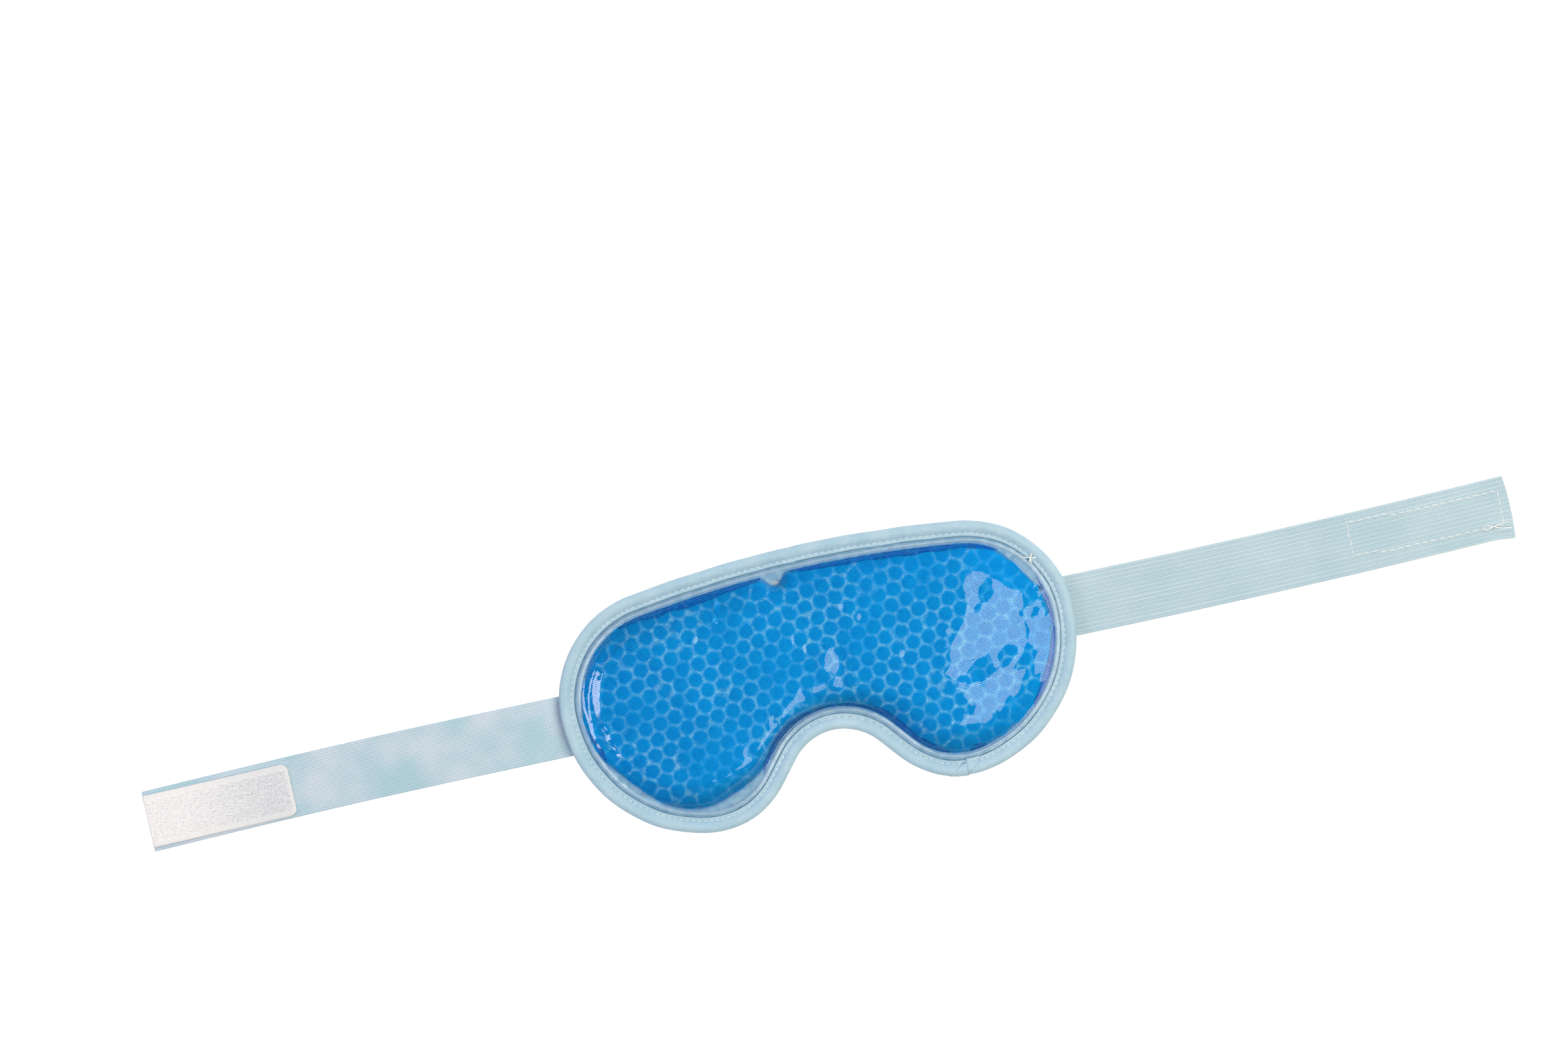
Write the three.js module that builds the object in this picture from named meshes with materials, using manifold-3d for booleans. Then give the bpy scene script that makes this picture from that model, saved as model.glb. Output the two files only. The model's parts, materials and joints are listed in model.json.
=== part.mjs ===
// A strapped hot and cold gel-bead eye mask, lying flat with its gel window up.
// Millimetres. The origin is on the resting face of the plush back, on the mask's line of symmetry.
// +X runs along the mask and its straps, +Y to the forehead edge, +Z out of the gel window.
import * as THREE from "three";
import { mergeVertices } from "three/addons/utils/BufferGeometryUtils.js";
import Module from "manifold-3d";

const wasm = await Module();
wasm.setup();

// ---- Driving dimensions ----

// Half of the mask's outline, clockwise from the middle of the forehead edge: tangent arcs that bulge
// outwards, then a straight flank and the nose notch, whose centre is on the line of symmetry.
const FOREHEAD_Y = 50.2;
const OUTLINE_ARCS = [
  { radius: 480, turnDeg: 8.2, steps: 3 }, // forehead edge
  { radius: 44, turnDeg: 79.5, steps: 8 }, // upper corner and side
  { radius: 57.5, turnDeg: 83.2, steps: 8 }, // outer cheek
  { radius: 36, turnDeg: 59.9, steps: 6 }, // inner cheek
];
const NOTCH_RADIUS = 22.3;
const NOTCH_STEPS = 5;

// The mask divides at the nose bridge about this line, and folds this far towards the gel side.
const FOLD_X = 1;
const FOLD_TO_GEL_DEG = 30;
const FOLD_GAP = 0.3;

// Clearance between pieces that touch.
const GAP = 0.15;

// Straps
const STRAP_WIDTH = 25;
const STRAP_THICKNESS = 0.8;
const STRAP_UNDERSIDE_Z = 0.3;
const STRAP_HINGE_X = 107;
const STRAP_HINGE_GAP = 1.5;
const SEWN_END_FOLD_X = 100;
const LEFT_STRAP = { side: -1, y: -0.5, endX: 279, patchLength: 60, patchWidth: 21.5 };
const RIGHT_STRAP = { side: 1, y: 1.4, endX: 288, patchLength: 66.5, patchWidth: 18 };
const PATCH_CORNER_RADIUS = 3;
const HOOK_PATCH_THICKNESS = 1.6;
const LOOP_PATCH_THICKNESS = 1.2;
const LOOP_PATCH_END_X = 286;
const PATCH_SEAM_INSET = 2.2;
const SEAM_GROOVE_WIDTH = 0.7;
const SEAM_GROOVE_DEPTH = 0.5;
const THREAD = 0.25;

// Heights of the layers at the edge of the mask
const PLUSH_EDGE_Z = 2.75;
const PLUSH_TOP_Z = 3.7;
const FILM_THICKNESS = 0.25;
const BACK_FILM_Z = PLUSH_TOP_Z + GAP;
const GEL_FLOOR_Z = BACK_FILM_Z + FILM_THICKNESS + GAP;
const FLANGE_Z = GEL_FLOOR_Z;
const TAPE_THICKNESS = 0.4;
const TAPE_LOWER_Z = PLUSH_EDGE_Z - GAP - TAPE_THICKNESS;
const TAPE_UPPER_Z = FLANGE_Z + FILM_THICKNESS + GAP;
const TAPE_UPPER_LIP = 6.3;
const TAPE_LOWER_LIP = 4.6;
const SHEET_INSET = 1;

// The gel bed's rounded top: distance in from the outline, and height.
const GEL_DOME = [
  [9.6, GEL_FLOOR_Z],
  [10, 5.9],
  [11.4, 7.6],
  [14, 9.2],
  [18, 10.5],
  [24, 11.2],
  [30, 11.4],
];

// ---- Materials ----

const cloth = (color) => new THREE.MeshStandardMaterial({ color, roughness: 0.9, metalness: 0 });
const PLUSH = cloth(0xb4d3ea);
const TAPE = cloth(0xb5d6df);
const ELASTIC = cloth(0xb0d3dc);
const WHITE_THREAD = cloth(0xe9f1f4);
const PALE_THREAD = cloth(0xcfe4ea);
const HOOK_WHITE = cloth(0xeef4f7);
const LOOP_BLUE = cloth(0xb9d8e0);
const GEL = new THREE.MeshStandardMaterial({ color: 0x0482d8, roughness: 0.3, metalness: 0 });
const FILM = new THREE.MeshStandardMaterial({
  color: 0xdfeaf6,
  roughness: 0.12,
  metalness: 0,
  transparent: true,
  opacity: 0.3,
});

// ---- Outline ----

// Points along one arc, without its first point. sense is -1 for a clockwise turn, 1 for the other way.
function arcPoints(start, headingRad, radius, turnRad, sense, steps) {
  const normal = headingRad + (sense * Math.PI) / 2;
  const centre = start.clone().add(polar(radius, normal));
  const points = [];
  for (let k = 1; k <= steps; k++) {
    const angle = normal + Math.PI + (sense * turnRad * k) / steps;
    points.push(centre.clone().add(polar(radius, angle)));
  }
  return points;
}

function polar(length, angle) {
  return new THREE.Vector2(length * Math.cos(angle), length * Math.sin(angle));
}

// The right half of the outline, moved in by inset, from the forehead edge round to the nose notch.
function halfOutline(inset) {
  let points = [new THREE.Vector2(0, FOREHEAD_Y - inset)];
  let heading = 0;
  for (const arc of OUTLINE_ARCS) {
    const turn = THREE.MathUtils.degToRad(arc.turnDeg);
    points = points.concat(arcPoints(points.at(-1), heading, arc.radius - inset, turn, -1, arc.steps));
    heading -= turn;
  }
  // The flank is as long as it takes to bring the notch's centre onto the line of symmetry.
  const flankStart = points.at(-1);
  const notchRadius = NOTCH_RADIUS + inset;
  const toCentre = polar(notchRadius, heading + Math.PI / 2);
  const flank = -(flankStart.x + toCentre.x) / Math.cos(heading);
  points.push(flankStart.clone().add(polar(flank, heading)));
  const notchTurn = -Math.PI - heading;
  points = points.concat(arcPoints(points.at(-1), heading, notchRadius, notchTurn, 1, NOTCH_STEPS));
  points.at(-1).x = 0;
  return points;
}

// The whole outline, moved in by inset, anticlockwise seen from above.
function outline(inset) {
  const right = halfOutline(inset);
  const left = right.slice(1, -1).map((p) => new THREE.Vector2(-p.x, p.y));
  return [...left, ...right.reverse()];
}

// ---- Solids ----

// A solid that follows the outline: profile is a list of [inset, z], bottom to top round the outside.
// A closed profile makes a ring. An open one is capped with a flat face at each end.
function outlineSolid(profile, isRing = false) {
  const rings = profile.map(([inset, z]) => outline(inset).map((p) => [p.x, p.y, z]));
  const count = rings[0].length;
  const positions = rings.flat(2);
  const index = [];
  const last = isRing ? rings.length : rings.length - 1;
  for (let i = 0; i < last; i++) {
    const lower = i * count;
    const upper = ((i + 1) % rings.length) * count;
    for (let j = 0; j < count; j++) {
      const next = (j + 1) % count;
      index.push(lower + j, lower + next, upper + next);
      index.push(lower + j, upper + next, upper + j);
    }
  }
  if (!isRing) {
    index.push(...capFaces(rings[0], 0, true));
    index.push(...capFaces(rings.at(-1), (rings.length - 1) * count, false));
  }
  const geometry = new THREE.BufferGeometry();
  geometry.setAttribute("position", new THREE.Float32BufferAttribute(positions, 3));
  geometry.setIndex(index);
  return geometry;
}

function capFaces(ring, offset, isBottom) {
  const flat = ring.map(([x, y]) => new THREE.Vector2(x, y));
  const faces = THREE.ShapeUtils.triangulateShape(flat, []);
  return faces.flatMap(([a, b, c]) => (isBottom ? [c, b, a] : [a, b, c]).map((v) => v + offset));
}

// A flat shape in X and Z, pushed along Y from y - width / 2 to y + width / 2.
function crosswiseSolid(pointsXZ, y, width) {
  const shape = new THREE.Shape(pointsXZ.map(([x, z]) => new THREE.Vector2(x, z)));
  const geometry = new THREE.ExtrudeGeometry(shape, { depth: width, bevelEnabled: false });
  geometry.rotateX(Math.PI / 2);
  geometry.translate(0, y + width / 2, 0);
  return geometry;
}

// A flat shape in X and Y, pushed up from z by thickness.
function plateSolid(shape, z, thickness) {
  const geometry = new THREE.ExtrudeGeometry(shape, {
    depth: thickness,
    bevelEnabled: false,
    curveSegments: 4,
  });
  geometry.translate(0, 0, z);
  return geometry;
}

function toManifold(geometry) {
  const bare = geometry.clone();
  bare.deleteAttribute("normal");
  bare.deleteAttribute("uv");
  const merged = mergeVertices(bare, 1e-4);
  return new wasm.Manifold(
    new wasm.Mesh({
      numProp: 3,
      vertProperties: new Float32Array(merged.attributes.position.array),
      triVerts: new Uint32Array(merged.index.array),
    }),
  );
}

function fromManifold(solid) {
  const mesh = solid.getMesh();
  const geometry = new THREE.BufferGeometry();
  geometry.setAttribute("position", new THREE.BufferAttribute(mesh.vertProperties, 3));
  geometry.setIndex(new THREE.BufferAttribute(mesh.triVerts, 1));
  return geometry;
}

// Everything to one side of the bridge's V-shaped gap, as a block to cut away. The V closes as the
// lobes fold towards the gel side.
function bridgeCutter(side) {
  const lean = Math.tan(THREE.MathUtils.degToRad(FOLD_TO_GEL_DEG / 2));
  const below = -5;
  const above = 20;
  const far = FOLD_X + side * 150;
  const edgeX = (z) => FOLD_X - side * (FOLD_GAP / 2 + Math.max(z, 0) * lean);
  const section = [
    [edgeX(below), below],
    [far, below],
    [far, above],
    [edgeX(above), above],
    [edgeX(0), 0],
  ];
  return toManifold(crosswiseSolid(section, 0, 150));
}

// The left and right halves of a layer that spans the nose bridge.
function divideAtBridge(geometry) {
  const whole = toManifold(geometry);
  return {
    left: fromManifold(whole.subtract(bridgeCutter(1))),
    right: fromManifold(whole.subtract(bridgeCutter(-1))),
  };
}

// ---- Assembly ----

const mask = new THREE.Group();

function add(name, geometry, material) {
  const flat = geometry.index ? geometry.toNonIndexed() : geometry;
  flat.computeVertexNormals();
  const mesh = new THREE.Mesh(flat, material);
  mesh.name = name;
  mask.add(mesh);
}

function addHalves(name, geometry, material) {
  const halves = divideAtBridge(geometry);
  add(`${name}_left`, halves.left, material);
  add(`${name}_right`, halves.right, material);
}

// The plush sheet rests flat on its middle, and rises to the binding round its edge.
function plushBacking() {
  return outlineSolid([
    [14, 0],
    [10, 0.35],
    [7, 1.3],
    [5, PLUSH_EDGE_Z],
    [SHEET_INSET, PLUSH_EDGE_Z],
    [SHEET_INSET, PLUSH_TOP_Z],
  ]);
}

function pouchBackFilm() {
  return outlineSolid([
    [SHEET_INSET, BACK_FILM_Z],
    [SHEET_INSET, BACK_FILM_Z + FILM_THICKNESS],
  ]);
}

function gelBeadFill() {
  return outlineSolid(GEL_DOME);
}

// The front film: a flat flange out to the binding, and a dome a little clear of the gel.
function pouchFrontFilm() {
  const under = GEL_DOME.slice(1).map(([inset, z]) => [inset - GAP, z + GAP]);
  const over = under.map(([inset, z]) => [inset - FILM_THICKNESS, z + FILM_THICKNESS]);
  const domeFoot = GEL_DOME[0][0] - GAP;
  return outlineSolid([
    ...under.reverse(),
    [domeFoot, FLANGE_Z],
    [SHEET_INSET, FLANGE_Z],
    [SHEET_INSET, FLANGE_Z + FILM_THICKNESS],
    [domeFoot - FILM_THICKNESS, FLANGE_Z + FILM_THICKNESS],
    ...over,
  ]);
}

// Tape folded round the edge: a lower lip, a rounded fold and an upper lip.
function edgeBinding() {
  const lowerTop = TAPE_LOWER_Z + TAPE_THICKNESS;
  const upperTop = TAPE_UPPER_Z + TAPE_THICKNESS;
  return outlineSolid(
    [
      [TAPE_LOWER_LIP, TAPE_LOWER_Z],
      [0.8, TAPE_LOWER_Z],
      [0, TAPE_LOWER_Z + 0.8],
      [0, upperTop - 0.8],
      [0.8, upperTop],
      [TAPE_UPPER_LIP, upperTop],
      [TAPE_UPPER_LIP, TAPE_UPPER_Z],
      [0.6, TAPE_UPPER_Z],
      [0.6, lowerTop],
      [TAPE_LOWER_LIP, lowerTop],
    ],
    true,
  );
}

// A seam thread that lies along the outline at one inset.
function seamThread(inset, z) {
  const half = THREAD / 2;
  return outlineSolid(
    [
      [inset - half, z],
      [inset - half, z + THREAD],
      [inset + half, z + THREAD],
      [inset + half, z],
    ],
    true,
  );
}

// A zigzag of thread that lies flat: rows of one stitch each between two long edges.
function zigzagThread(x, y, length, width, turns, z) {
  const half = THREAD / 2;
  const near = [];
  const back = [];
  for (let k = 0; k <= turns; k++) {
    const along = x + (length * k) / turns;
    const across = y + (k % 2 ? width / 2 : -width / 2);
    near.push(new THREE.Vector2(along, across - half));
    back.unshift(new THREE.Vector2(along, across + half));
  }
  return plateSolid(new THREE.Shape([...near, ...back]), z, THREAD);
}

function roundedRectangle(x, y, length, width, radius) {
  const shape = new THREE.Shape();
  shape.moveTo(x + radius, y);
  shape.lineTo(x + length - radius, y);
  shape.quadraticCurveTo(x + length, y, x + length, y + radius);
  shape.lineTo(x + length, y + width - radius);
  shape.quadraticCurveTo(x + length, y + width, x + length - radius, y + width);
  shape.lineTo(x + radius, y + width);
  shape.quadraticCurveTo(x, y + width, x, y + width - radius);
  shape.lineTo(x, y + radius);
  shape.quadraticCurveTo(x, y, x + radius, y);
  return shape;
}

// The strap's folded end: the raw end lies against the binding, and the strap folds back out under it.
function strapSewnEnd({ side, y }) {
  const outer = STRAP_HINGE_X - STRAP_HINGE_GAP;
  const rawEnd = outer - 1.5;
  const z0 = STRAP_UNDERSIDE_Z;
  const lowerTop = z0 + STRAP_THICKNESS - 0.1;
  const upperZ = lowerTop + 0.2;
  const top = upperZ + STRAP_THICKNESS - 0.3;
  const section = [
    [outer, z0],
    [outer, lowerTop],
    [SEWN_END_FOLD_X + 0.9, lowerTop],
    [SEWN_END_FOLD_X + 0.9, upperZ],
    [rawEnd, upperZ],
    [rawEnd, top],
    [SEWN_END_FOLD_X + 0.5, top],
    [SEWN_END_FOLD_X, top - 0.5],
    [SEWN_END_FOLD_X, z0 + 0.5],
    [SEWN_END_FOLD_X + 0.5, z0],
  ];
  return crosswiseSolid(section.map(([x, z]) => [side * x, z]), y, STRAP_WIDTH);
}

// The free strap, from just past its fold line to its end, and raised where a patch lies under it.
function strapWebbing({ side, y, endX, patchLength }, underPatch = 0) {
  const z0 = STRAP_UNDERSIDE_Z;
  const riseX = endX - patchLength - 12;
  const raisedX = endX - patchLength - 4;
  const start = STRAP_HINGE_X + STRAP_HINGE_GAP;
  const lift = underPatch ? underPatch + GAP - z0 : 0;
  const under = lift
    ? [[start, z0], [riseX, z0], [raisedX, z0 + lift], [endX, z0 + lift]]
    : [[start, z0], [endX, z0]];
  const over = under.map(([x, z]) => [x, z + STRAP_THICKNESS]).reverse();
  const section = [...under, ...over];
  return crosswiseSolid(section.map(([x, z]) => [side * x, z]), y, STRAP_WIDTH);
}

// A patch's outline, moved in by margin.
function patchOutline({ side, y, patchLength, patchWidth }, endX, margin, radius) {
  const low = side > 0 ? endX - patchLength : -endX;
  const length = patchLength - 2 * margin;
  const width = patchWidth - 2 * margin;
  return roundedRectangle(low + margin, y - width / 2, length, width, radius);
}

function patch(strap, endX, z, thickness) {
  return plateSolid(patchOutline(strap, endX, 0, PATCH_CORNER_RADIUS), z, thickness);
}

// A rectangular ring round a patch, centred on its line of stitches.
function patchRing(strap, endX, z, width, height) {
  const outer = patchOutline(strap, endX, PATCH_SEAM_INSET - width / 2, 1.2);
  const inner = patchOutline(strap, endX, PATCH_SEAM_INSET + width / 2, 0.8);
  outer.holes.push(new THREE.Path(inner.getPoints(4)));
  return plateSolid(outer, z, height);
}

function addMask() {
  addHalves("plush_backing", plushBacking(), PLUSH);
  addHalves("pouch_back_film", pouchBackFilm(), FILM);
  addHalves("gel_bead_fill", gelBeadFill(), GEL);
  addHalves("pouch_front_film", pouchFrontFilm(), FILM);
  addHalves("edge_binding", edgeBinding(), TAPE);
  const frontThreadZ = TAPE_UPPER_Z + TAPE_THICKNESS + 0.05;
  const backThreadZ = TAPE_LOWER_Z - 0.05 - THREAD;
  addHalves("binding_thread_front", seamThread(TAPE_UPPER_LIP - 1.3, frontThreadZ), PALE_THREAD);
  addHalves("binding_thread_back", seamThread(TAPE_LOWER_LIP - 1, backThreadZ), PALE_THREAD);
  addBindingTack(frontThreadZ);
  addCrossStitch(frontThreadZ);
}

// The back-and-forth stitches on the tape's folded join, at the bottom of the right lobe.
function addBindingTack(z) {
  const tack = zigzagThread(0, 0, 5.5, 0.9, 8, 0);
  tack.rotateZ(THREE.MathUtils.degToRad(-12));
  tack.translate(46, -53.2, z);
  add("binding_join_tack", tack, WHITE_THREAD);
}

// Two crossed strokes of thread that lie over the binding's inner edge, above its seam.
function addCrossStitch(seamZ) {
  const thickness = 0.35;
  const stroke = (length, turnDeg) => {
    const bar = new THREE.BoxGeometry(length, 0.45, thickness);
    bar.rotateZ(THREE.MathUtils.degToRad(turnDeg));
    return toManifold(bar);
  };
  const cross = fromManifold(stroke(5.6, -16).add(stroke(4, 50)));
  cross.translate(93.2, 24.1, seamZ + THREAD + GAP + thickness / 2);
  add("cross_stitch", cross, WHITE_THREAD);
}

function addStraps() {
  const tackY = STRAP_WIDTH - 3;
  const sides = [
    ["left", LEFT_STRAP, 0],
    ["right", RIGHT_STRAP, LOOP_PATCH_THICKNESS],
  ];
  for (const [name, strap, underPatch] of sides) {
    add(`${name}_strap_sewn_end`, strapSewnEnd(strap), ELASTIC);
    add(`${name}_strap_webbing`, strapWebbing(strap, underPatch), ELASTIC);
    const tack = zigzagThread(-tackY / 2, 0, tackY, 0.8, 22, 0);
    tack.rotateZ(Math.PI / 2);
    tack.translate(strap.side * (SEWN_END_FOLD_X + 2.2), strap.y, 0.02);
    add(`${name}_strap_tack`, tack, PALE_THREAD);
  }
}

// The hook patch lies on the left strap's end, with its stitches sunk in a groove below its hooks.
function addHookPatch() {
  const endX = LEFT_STRAP.endX;
  const z = STRAP_UNDERSIDE_Z + STRAP_THICKNESS + GAP;
  const grooveZ = z + HOOK_PATCH_THICKNESS - SEAM_GROOVE_DEPTH;
  const whole = toManifold(patch(LEFT_STRAP, endX, z, HOOK_PATCH_THICKNESS));
  const groove = toManifold(patchRing(LEFT_STRAP, endX, grooveZ, SEAM_GROOVE_WIDTH, 1));
  add("hook_patch", fromManifold(whole.subtract(groove)), HOOK_WHITE);
  add("hook_patch_stitching", patchRing(LEFT_STRAP, endX, grooveZ + 0.1, THREAD, THREAD), WHITE_THREAD);
}

// The loop patch lies under the right strap's end, and its stitches show on top of the strap.
function addLoopPatch() {
  add("loop_patch", patch(RIGHT_STRAP, LOOP_PATCH_END_X, 0, LOOP_PATCH_THICKNESS), LOOP_BLUE);
  const z = LOOP_PATCH_THICKNESS + GAP + STRAP_THICKNESS + 0.05;
  add("loop_patch_stitching", patchRing(RIGHT_STRAP, LOOP_PATCH_END_X, z, THREAD, THREAD), WHITE_THREAD);
}

// A loose end of thread, lying in a loop on the right strap's end, over its stitches.
function addThreadTail() {
  const low = LOOP_PATCH_THICKNESS + GAP + STRAP_THICKNESS + 0.6;
  const high = low + 0.4;
  const route = new THREE.CatmullRomCurve3([
    new THREE.Vector3(286.6, -5, low),
    new THREE.Vector3(282.5, -4.9, low),
    new THREE.Vector3(279.3, -5.6, low),
    new THREE.Vector3(276.6, -6.2, low + 0.1),
    new THREE.Vector3(275, -5.3, low + 0.2),
    new THREE.Vector3(276.6, -4.4, low + 0.3),
    new THREE.Vector3(279.3, -5.5, high),
    new THREE.Vector3(282.5, -6.8, high),
    new THREE.Vector3(286.6, -7.4, high),
  ]);
  const section = new THREE.Shape();
  section.absarc(0, 0, 0.15, 0, Math.PI * 2, false);
  const tail = new THREE.ExtrudeGeometry(section, {
    steps: 40,
    curveSegments: 6,
    bevelEnabled: false,
    extrudePath: route,
  });
  add("thread_tail", tail, WHITE_THREAD);
}

addMask();
addStraps();
addHookPatch();
addLoopPatch();
addThreadTail();

export default mask;
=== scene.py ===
"""The looks of a strapped hot and cold gel-bead eye mask, lying flat with its gel window up.

Shapes are worked out in millimetres, in the CAD frame, and stored in metres.
"""

import json
import math

import bpy
import numpy as np
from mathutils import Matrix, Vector


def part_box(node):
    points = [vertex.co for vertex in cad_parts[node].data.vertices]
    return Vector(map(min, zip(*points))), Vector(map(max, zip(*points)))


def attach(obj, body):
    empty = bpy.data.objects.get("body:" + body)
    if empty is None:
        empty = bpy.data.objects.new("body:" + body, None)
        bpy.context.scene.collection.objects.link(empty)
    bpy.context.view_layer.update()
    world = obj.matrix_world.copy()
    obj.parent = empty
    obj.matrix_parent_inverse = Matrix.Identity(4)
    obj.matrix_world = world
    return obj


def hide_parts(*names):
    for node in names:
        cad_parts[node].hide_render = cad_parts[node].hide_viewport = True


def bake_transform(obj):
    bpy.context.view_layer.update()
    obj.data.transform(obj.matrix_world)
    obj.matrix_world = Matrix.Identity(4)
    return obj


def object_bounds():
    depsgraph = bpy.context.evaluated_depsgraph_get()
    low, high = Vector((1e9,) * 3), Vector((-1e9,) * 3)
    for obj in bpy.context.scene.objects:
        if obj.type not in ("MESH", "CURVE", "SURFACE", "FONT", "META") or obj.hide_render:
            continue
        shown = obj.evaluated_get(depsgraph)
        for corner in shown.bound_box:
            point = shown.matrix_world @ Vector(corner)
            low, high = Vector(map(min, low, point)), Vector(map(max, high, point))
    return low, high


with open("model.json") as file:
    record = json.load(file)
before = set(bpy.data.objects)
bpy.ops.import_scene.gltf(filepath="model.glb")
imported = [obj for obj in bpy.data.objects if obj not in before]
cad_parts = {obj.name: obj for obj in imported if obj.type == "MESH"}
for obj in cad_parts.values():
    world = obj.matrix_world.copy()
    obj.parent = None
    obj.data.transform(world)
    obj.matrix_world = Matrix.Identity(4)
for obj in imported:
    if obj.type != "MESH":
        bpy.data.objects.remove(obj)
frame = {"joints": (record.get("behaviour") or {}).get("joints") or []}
cad_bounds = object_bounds()

MM = 0.001
UP = np.array([0.0, 0.0, 1.0])


def box_mm(node):
    """The lowest and highest corners of a CAD node, in millimetres."""
    low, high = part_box(node)
    return np.array(low) / MM, np.array(high) / MM


def joint_x(name):
    """Where a joint is along the mask, in millimetres."""
    return next(joint for joint in frame["joints"] if joint["name"] == name)["pos_m"][0] / MM


# ---- Sizes from the frame ----

BINDING_LOW, BINDING_HIGH = box_mm("edge_binding_right")
GEL_LOW, GEL_HIGH = box_mm("gel_bead_fill_right")
FILM_LOW, FILM_HIGH = box_mm("pouch_front_film_right")
PLUSH_LOW, PLUSH_HIGH = box_mm("plush_backing_right")
_, FRONT_SEAM_HIGH = box_mm("binding_thread_front_right")
_, BACK_SEAM_HIGH = box_mm("binding_thread_back_right")

FLANGE_Z = FILM_LOW[2] + 0.12
DOME_TOP_Z = FILM_HIGH[2] - 0.2
GEL_INSET = BINDING_HIGH[0] - GEL_HIGH[0]
HALF_THREAD = 0.125
FRONT_SEAM_INSET = BINDING_HIGH[0] - (FRONT_SEAM_HIGH[0] - HALF_THREAD)
BACK_SEAM_INSET = BINDING_HIGH[0] - (BACK_SEAM_HIGH[0] - HALF_THREAD)
FOLD_X = joint_x("nose_fold")
FOLD_REACH = 36

# The mask's own grids of points reach this far from the middle, along and across.
GRID_REACH = (110, 66)

# ---- The mask's outline ----

# Half of it, clockwise from the middle of the forehead edge: arcs as (radius, turn in degrees), then a
# straight flank and the nose notch, as in the CAD.
FOREHEAD_Y = round(cad_bounds[1][1] / MM, 2)
OUTLINE_ARCS = [(480, 8.2), (44, 79.5), (57.5, 83.2), (36, 59.9)]
NOTCH_RADIUS = 22.3
OFF_OUTLINE = 1e3


def unit(angle):
    return np.array([math.cos(angle), math.sin(angle)])


def outline_pieces():
    """The right half as arcs (centre, radius, first and last heading, bulge), and its straight flank (start,
    heading, length)."""
    point, heading, arcs = np.array([0.0, FOREHEAD_Y]), 0.0, []
    for radius, turn in OUTLINE_ARCS:
        centre = point + radius * unit(heading - math.pi / 2)
        last = heading - math.radians(turn)
        arcs.append((centre, radius, heading, last, 1))
        heading = last
        point = centre + radius * unit(heading + math.pi / 2)
    normal = heading + math.pi / 2
    length = -(point[0] + NOTCH_RADIUS * math.cos(normal)) / math.cos(heading)
    flank = (point, heading, length)
    centre = point + length * unit(heading) + NOTCH_RADIUS * unit(normal)
    arcs.append((centre, NOTCH_RADIUS, heading, -math.pi, -1))
    return arcs, flank


ARCS, FLANK = outline_pieces()


def half_outline(spacing):
    """Points and outward normals of the right half, clockwise, about spacing apart."""
    points, normals = [], []

    def sample(centre, radius, first, last, bulge):
        steps = max(2, round(abs(last - first) * radius / spacing))
        for k in range(steps):
            normal = unit(first + (last - first) * k / steps + math.pi / 2)
            points.append(centre + bulge * radius * normal)
            normals.append(normal)

    for arc in ARCS[:-1]:
        sample(*arc)
    start, heading, length = FLANK
    steps = round(length / spacing)
    for k in range(steps):
        points.append(start + unit(heading) * length * k / steps)
        normals.append(unit(heading + math.pi / 2))
    sample(*ARCS[-1])
    points.append(ARCS[-1][0] + np.array([0, NOTCH_RADIUS]))
    normals.append(np.array([0.0, -1.0]))
    return np.array(points), np.array(normals)


def outline(spacing):
    """The whole outline, anticlockwise: points, outward normals and the distance along it to each point."""
    points, normals = half_outline(spacing)
    flip = np.array([-1, 1])
    points = np.vstack([points[:-1] * flip, points[:0:-1]])
    normals = np.vstack([normals[:-1] * flip, normals[:0:-1]])
    steps = np.linalg.norm(np.diff(points, axis=0, append=points[:1]), axis=1)
    return points, normals, np.concatenate([[0], np.cumsum(steps)])


def inset_of(x, y):
    """How far in from the outline each point is. It is OFF_OUTLINE where no part of the outline faces."""
    x, y = np.abs(np.asarray(x, float)), np.asarray(y, float)
    nearest = np.full(np.broadcast(x, y).shape, OFF_OUTLINE)
    for centre, radius, first, last, bulge in ARCS:
        dx, dy = (x - centre[0]) * bulge, (y - centre[1]) * bulge
        low, high = sorted((first + math.pi / 2, last + math.pi / 2))
        facing = (np.arctan2(dy, dx) - low) % (2 * math.pi) <= high - low
        distance = bulge * (radius - np.hypot(dx, dy))
        nearest = np.where(facing, np.minimum(nearest, distance), nearest)
    start, heading, length = FLANK
    along = (x - start[0]) * math.cos(heading) + (y - start[1]) * math.sin(heading)
    normal = unit(heading + math.pi / 2)
    distance = -((x - start[0]) * normal[0] + (y - start[1]) * normal[1])
    beside = (along >= 0) & (along <= length)
    return np.where(beside, np.minimum(nearest, distance), nearest)


def on_mask(x, y, margin):
    """Whether each point is further in from the outline than margin."""
    inset = inset_of(x, y)
    return (inset > margin) & (inset < OFF_OUTLINE / 2)


# ---- Meshes ----


def smoothstep(t):
    t = np.clip(t, 0, 1)
    return t * t * (3 - 2 * t)


def bump_at(value, centre, width):
    return np.exp(-(((value - centre) / width) ** 2))


def ripple(x, y, wavelength, seed, waves=7):
    """Smooth random waves of about one wavelength, from about -1 to 1."""
    rng = np.random.default_rng(seed)
    total = 0
    for _ in range(waves):
        direction = unit(rng.uniform(0, math.pi))
        k = 2 * math.pi / (wavelength * rng.uniform(0.75, 1.4))
        total = total + np.sin(k * (x * direction[0] + y * direction[1]) + rng.uniform(0, 2 * math.pi))
    return total / math.sqrt(waves * 2)


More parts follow.
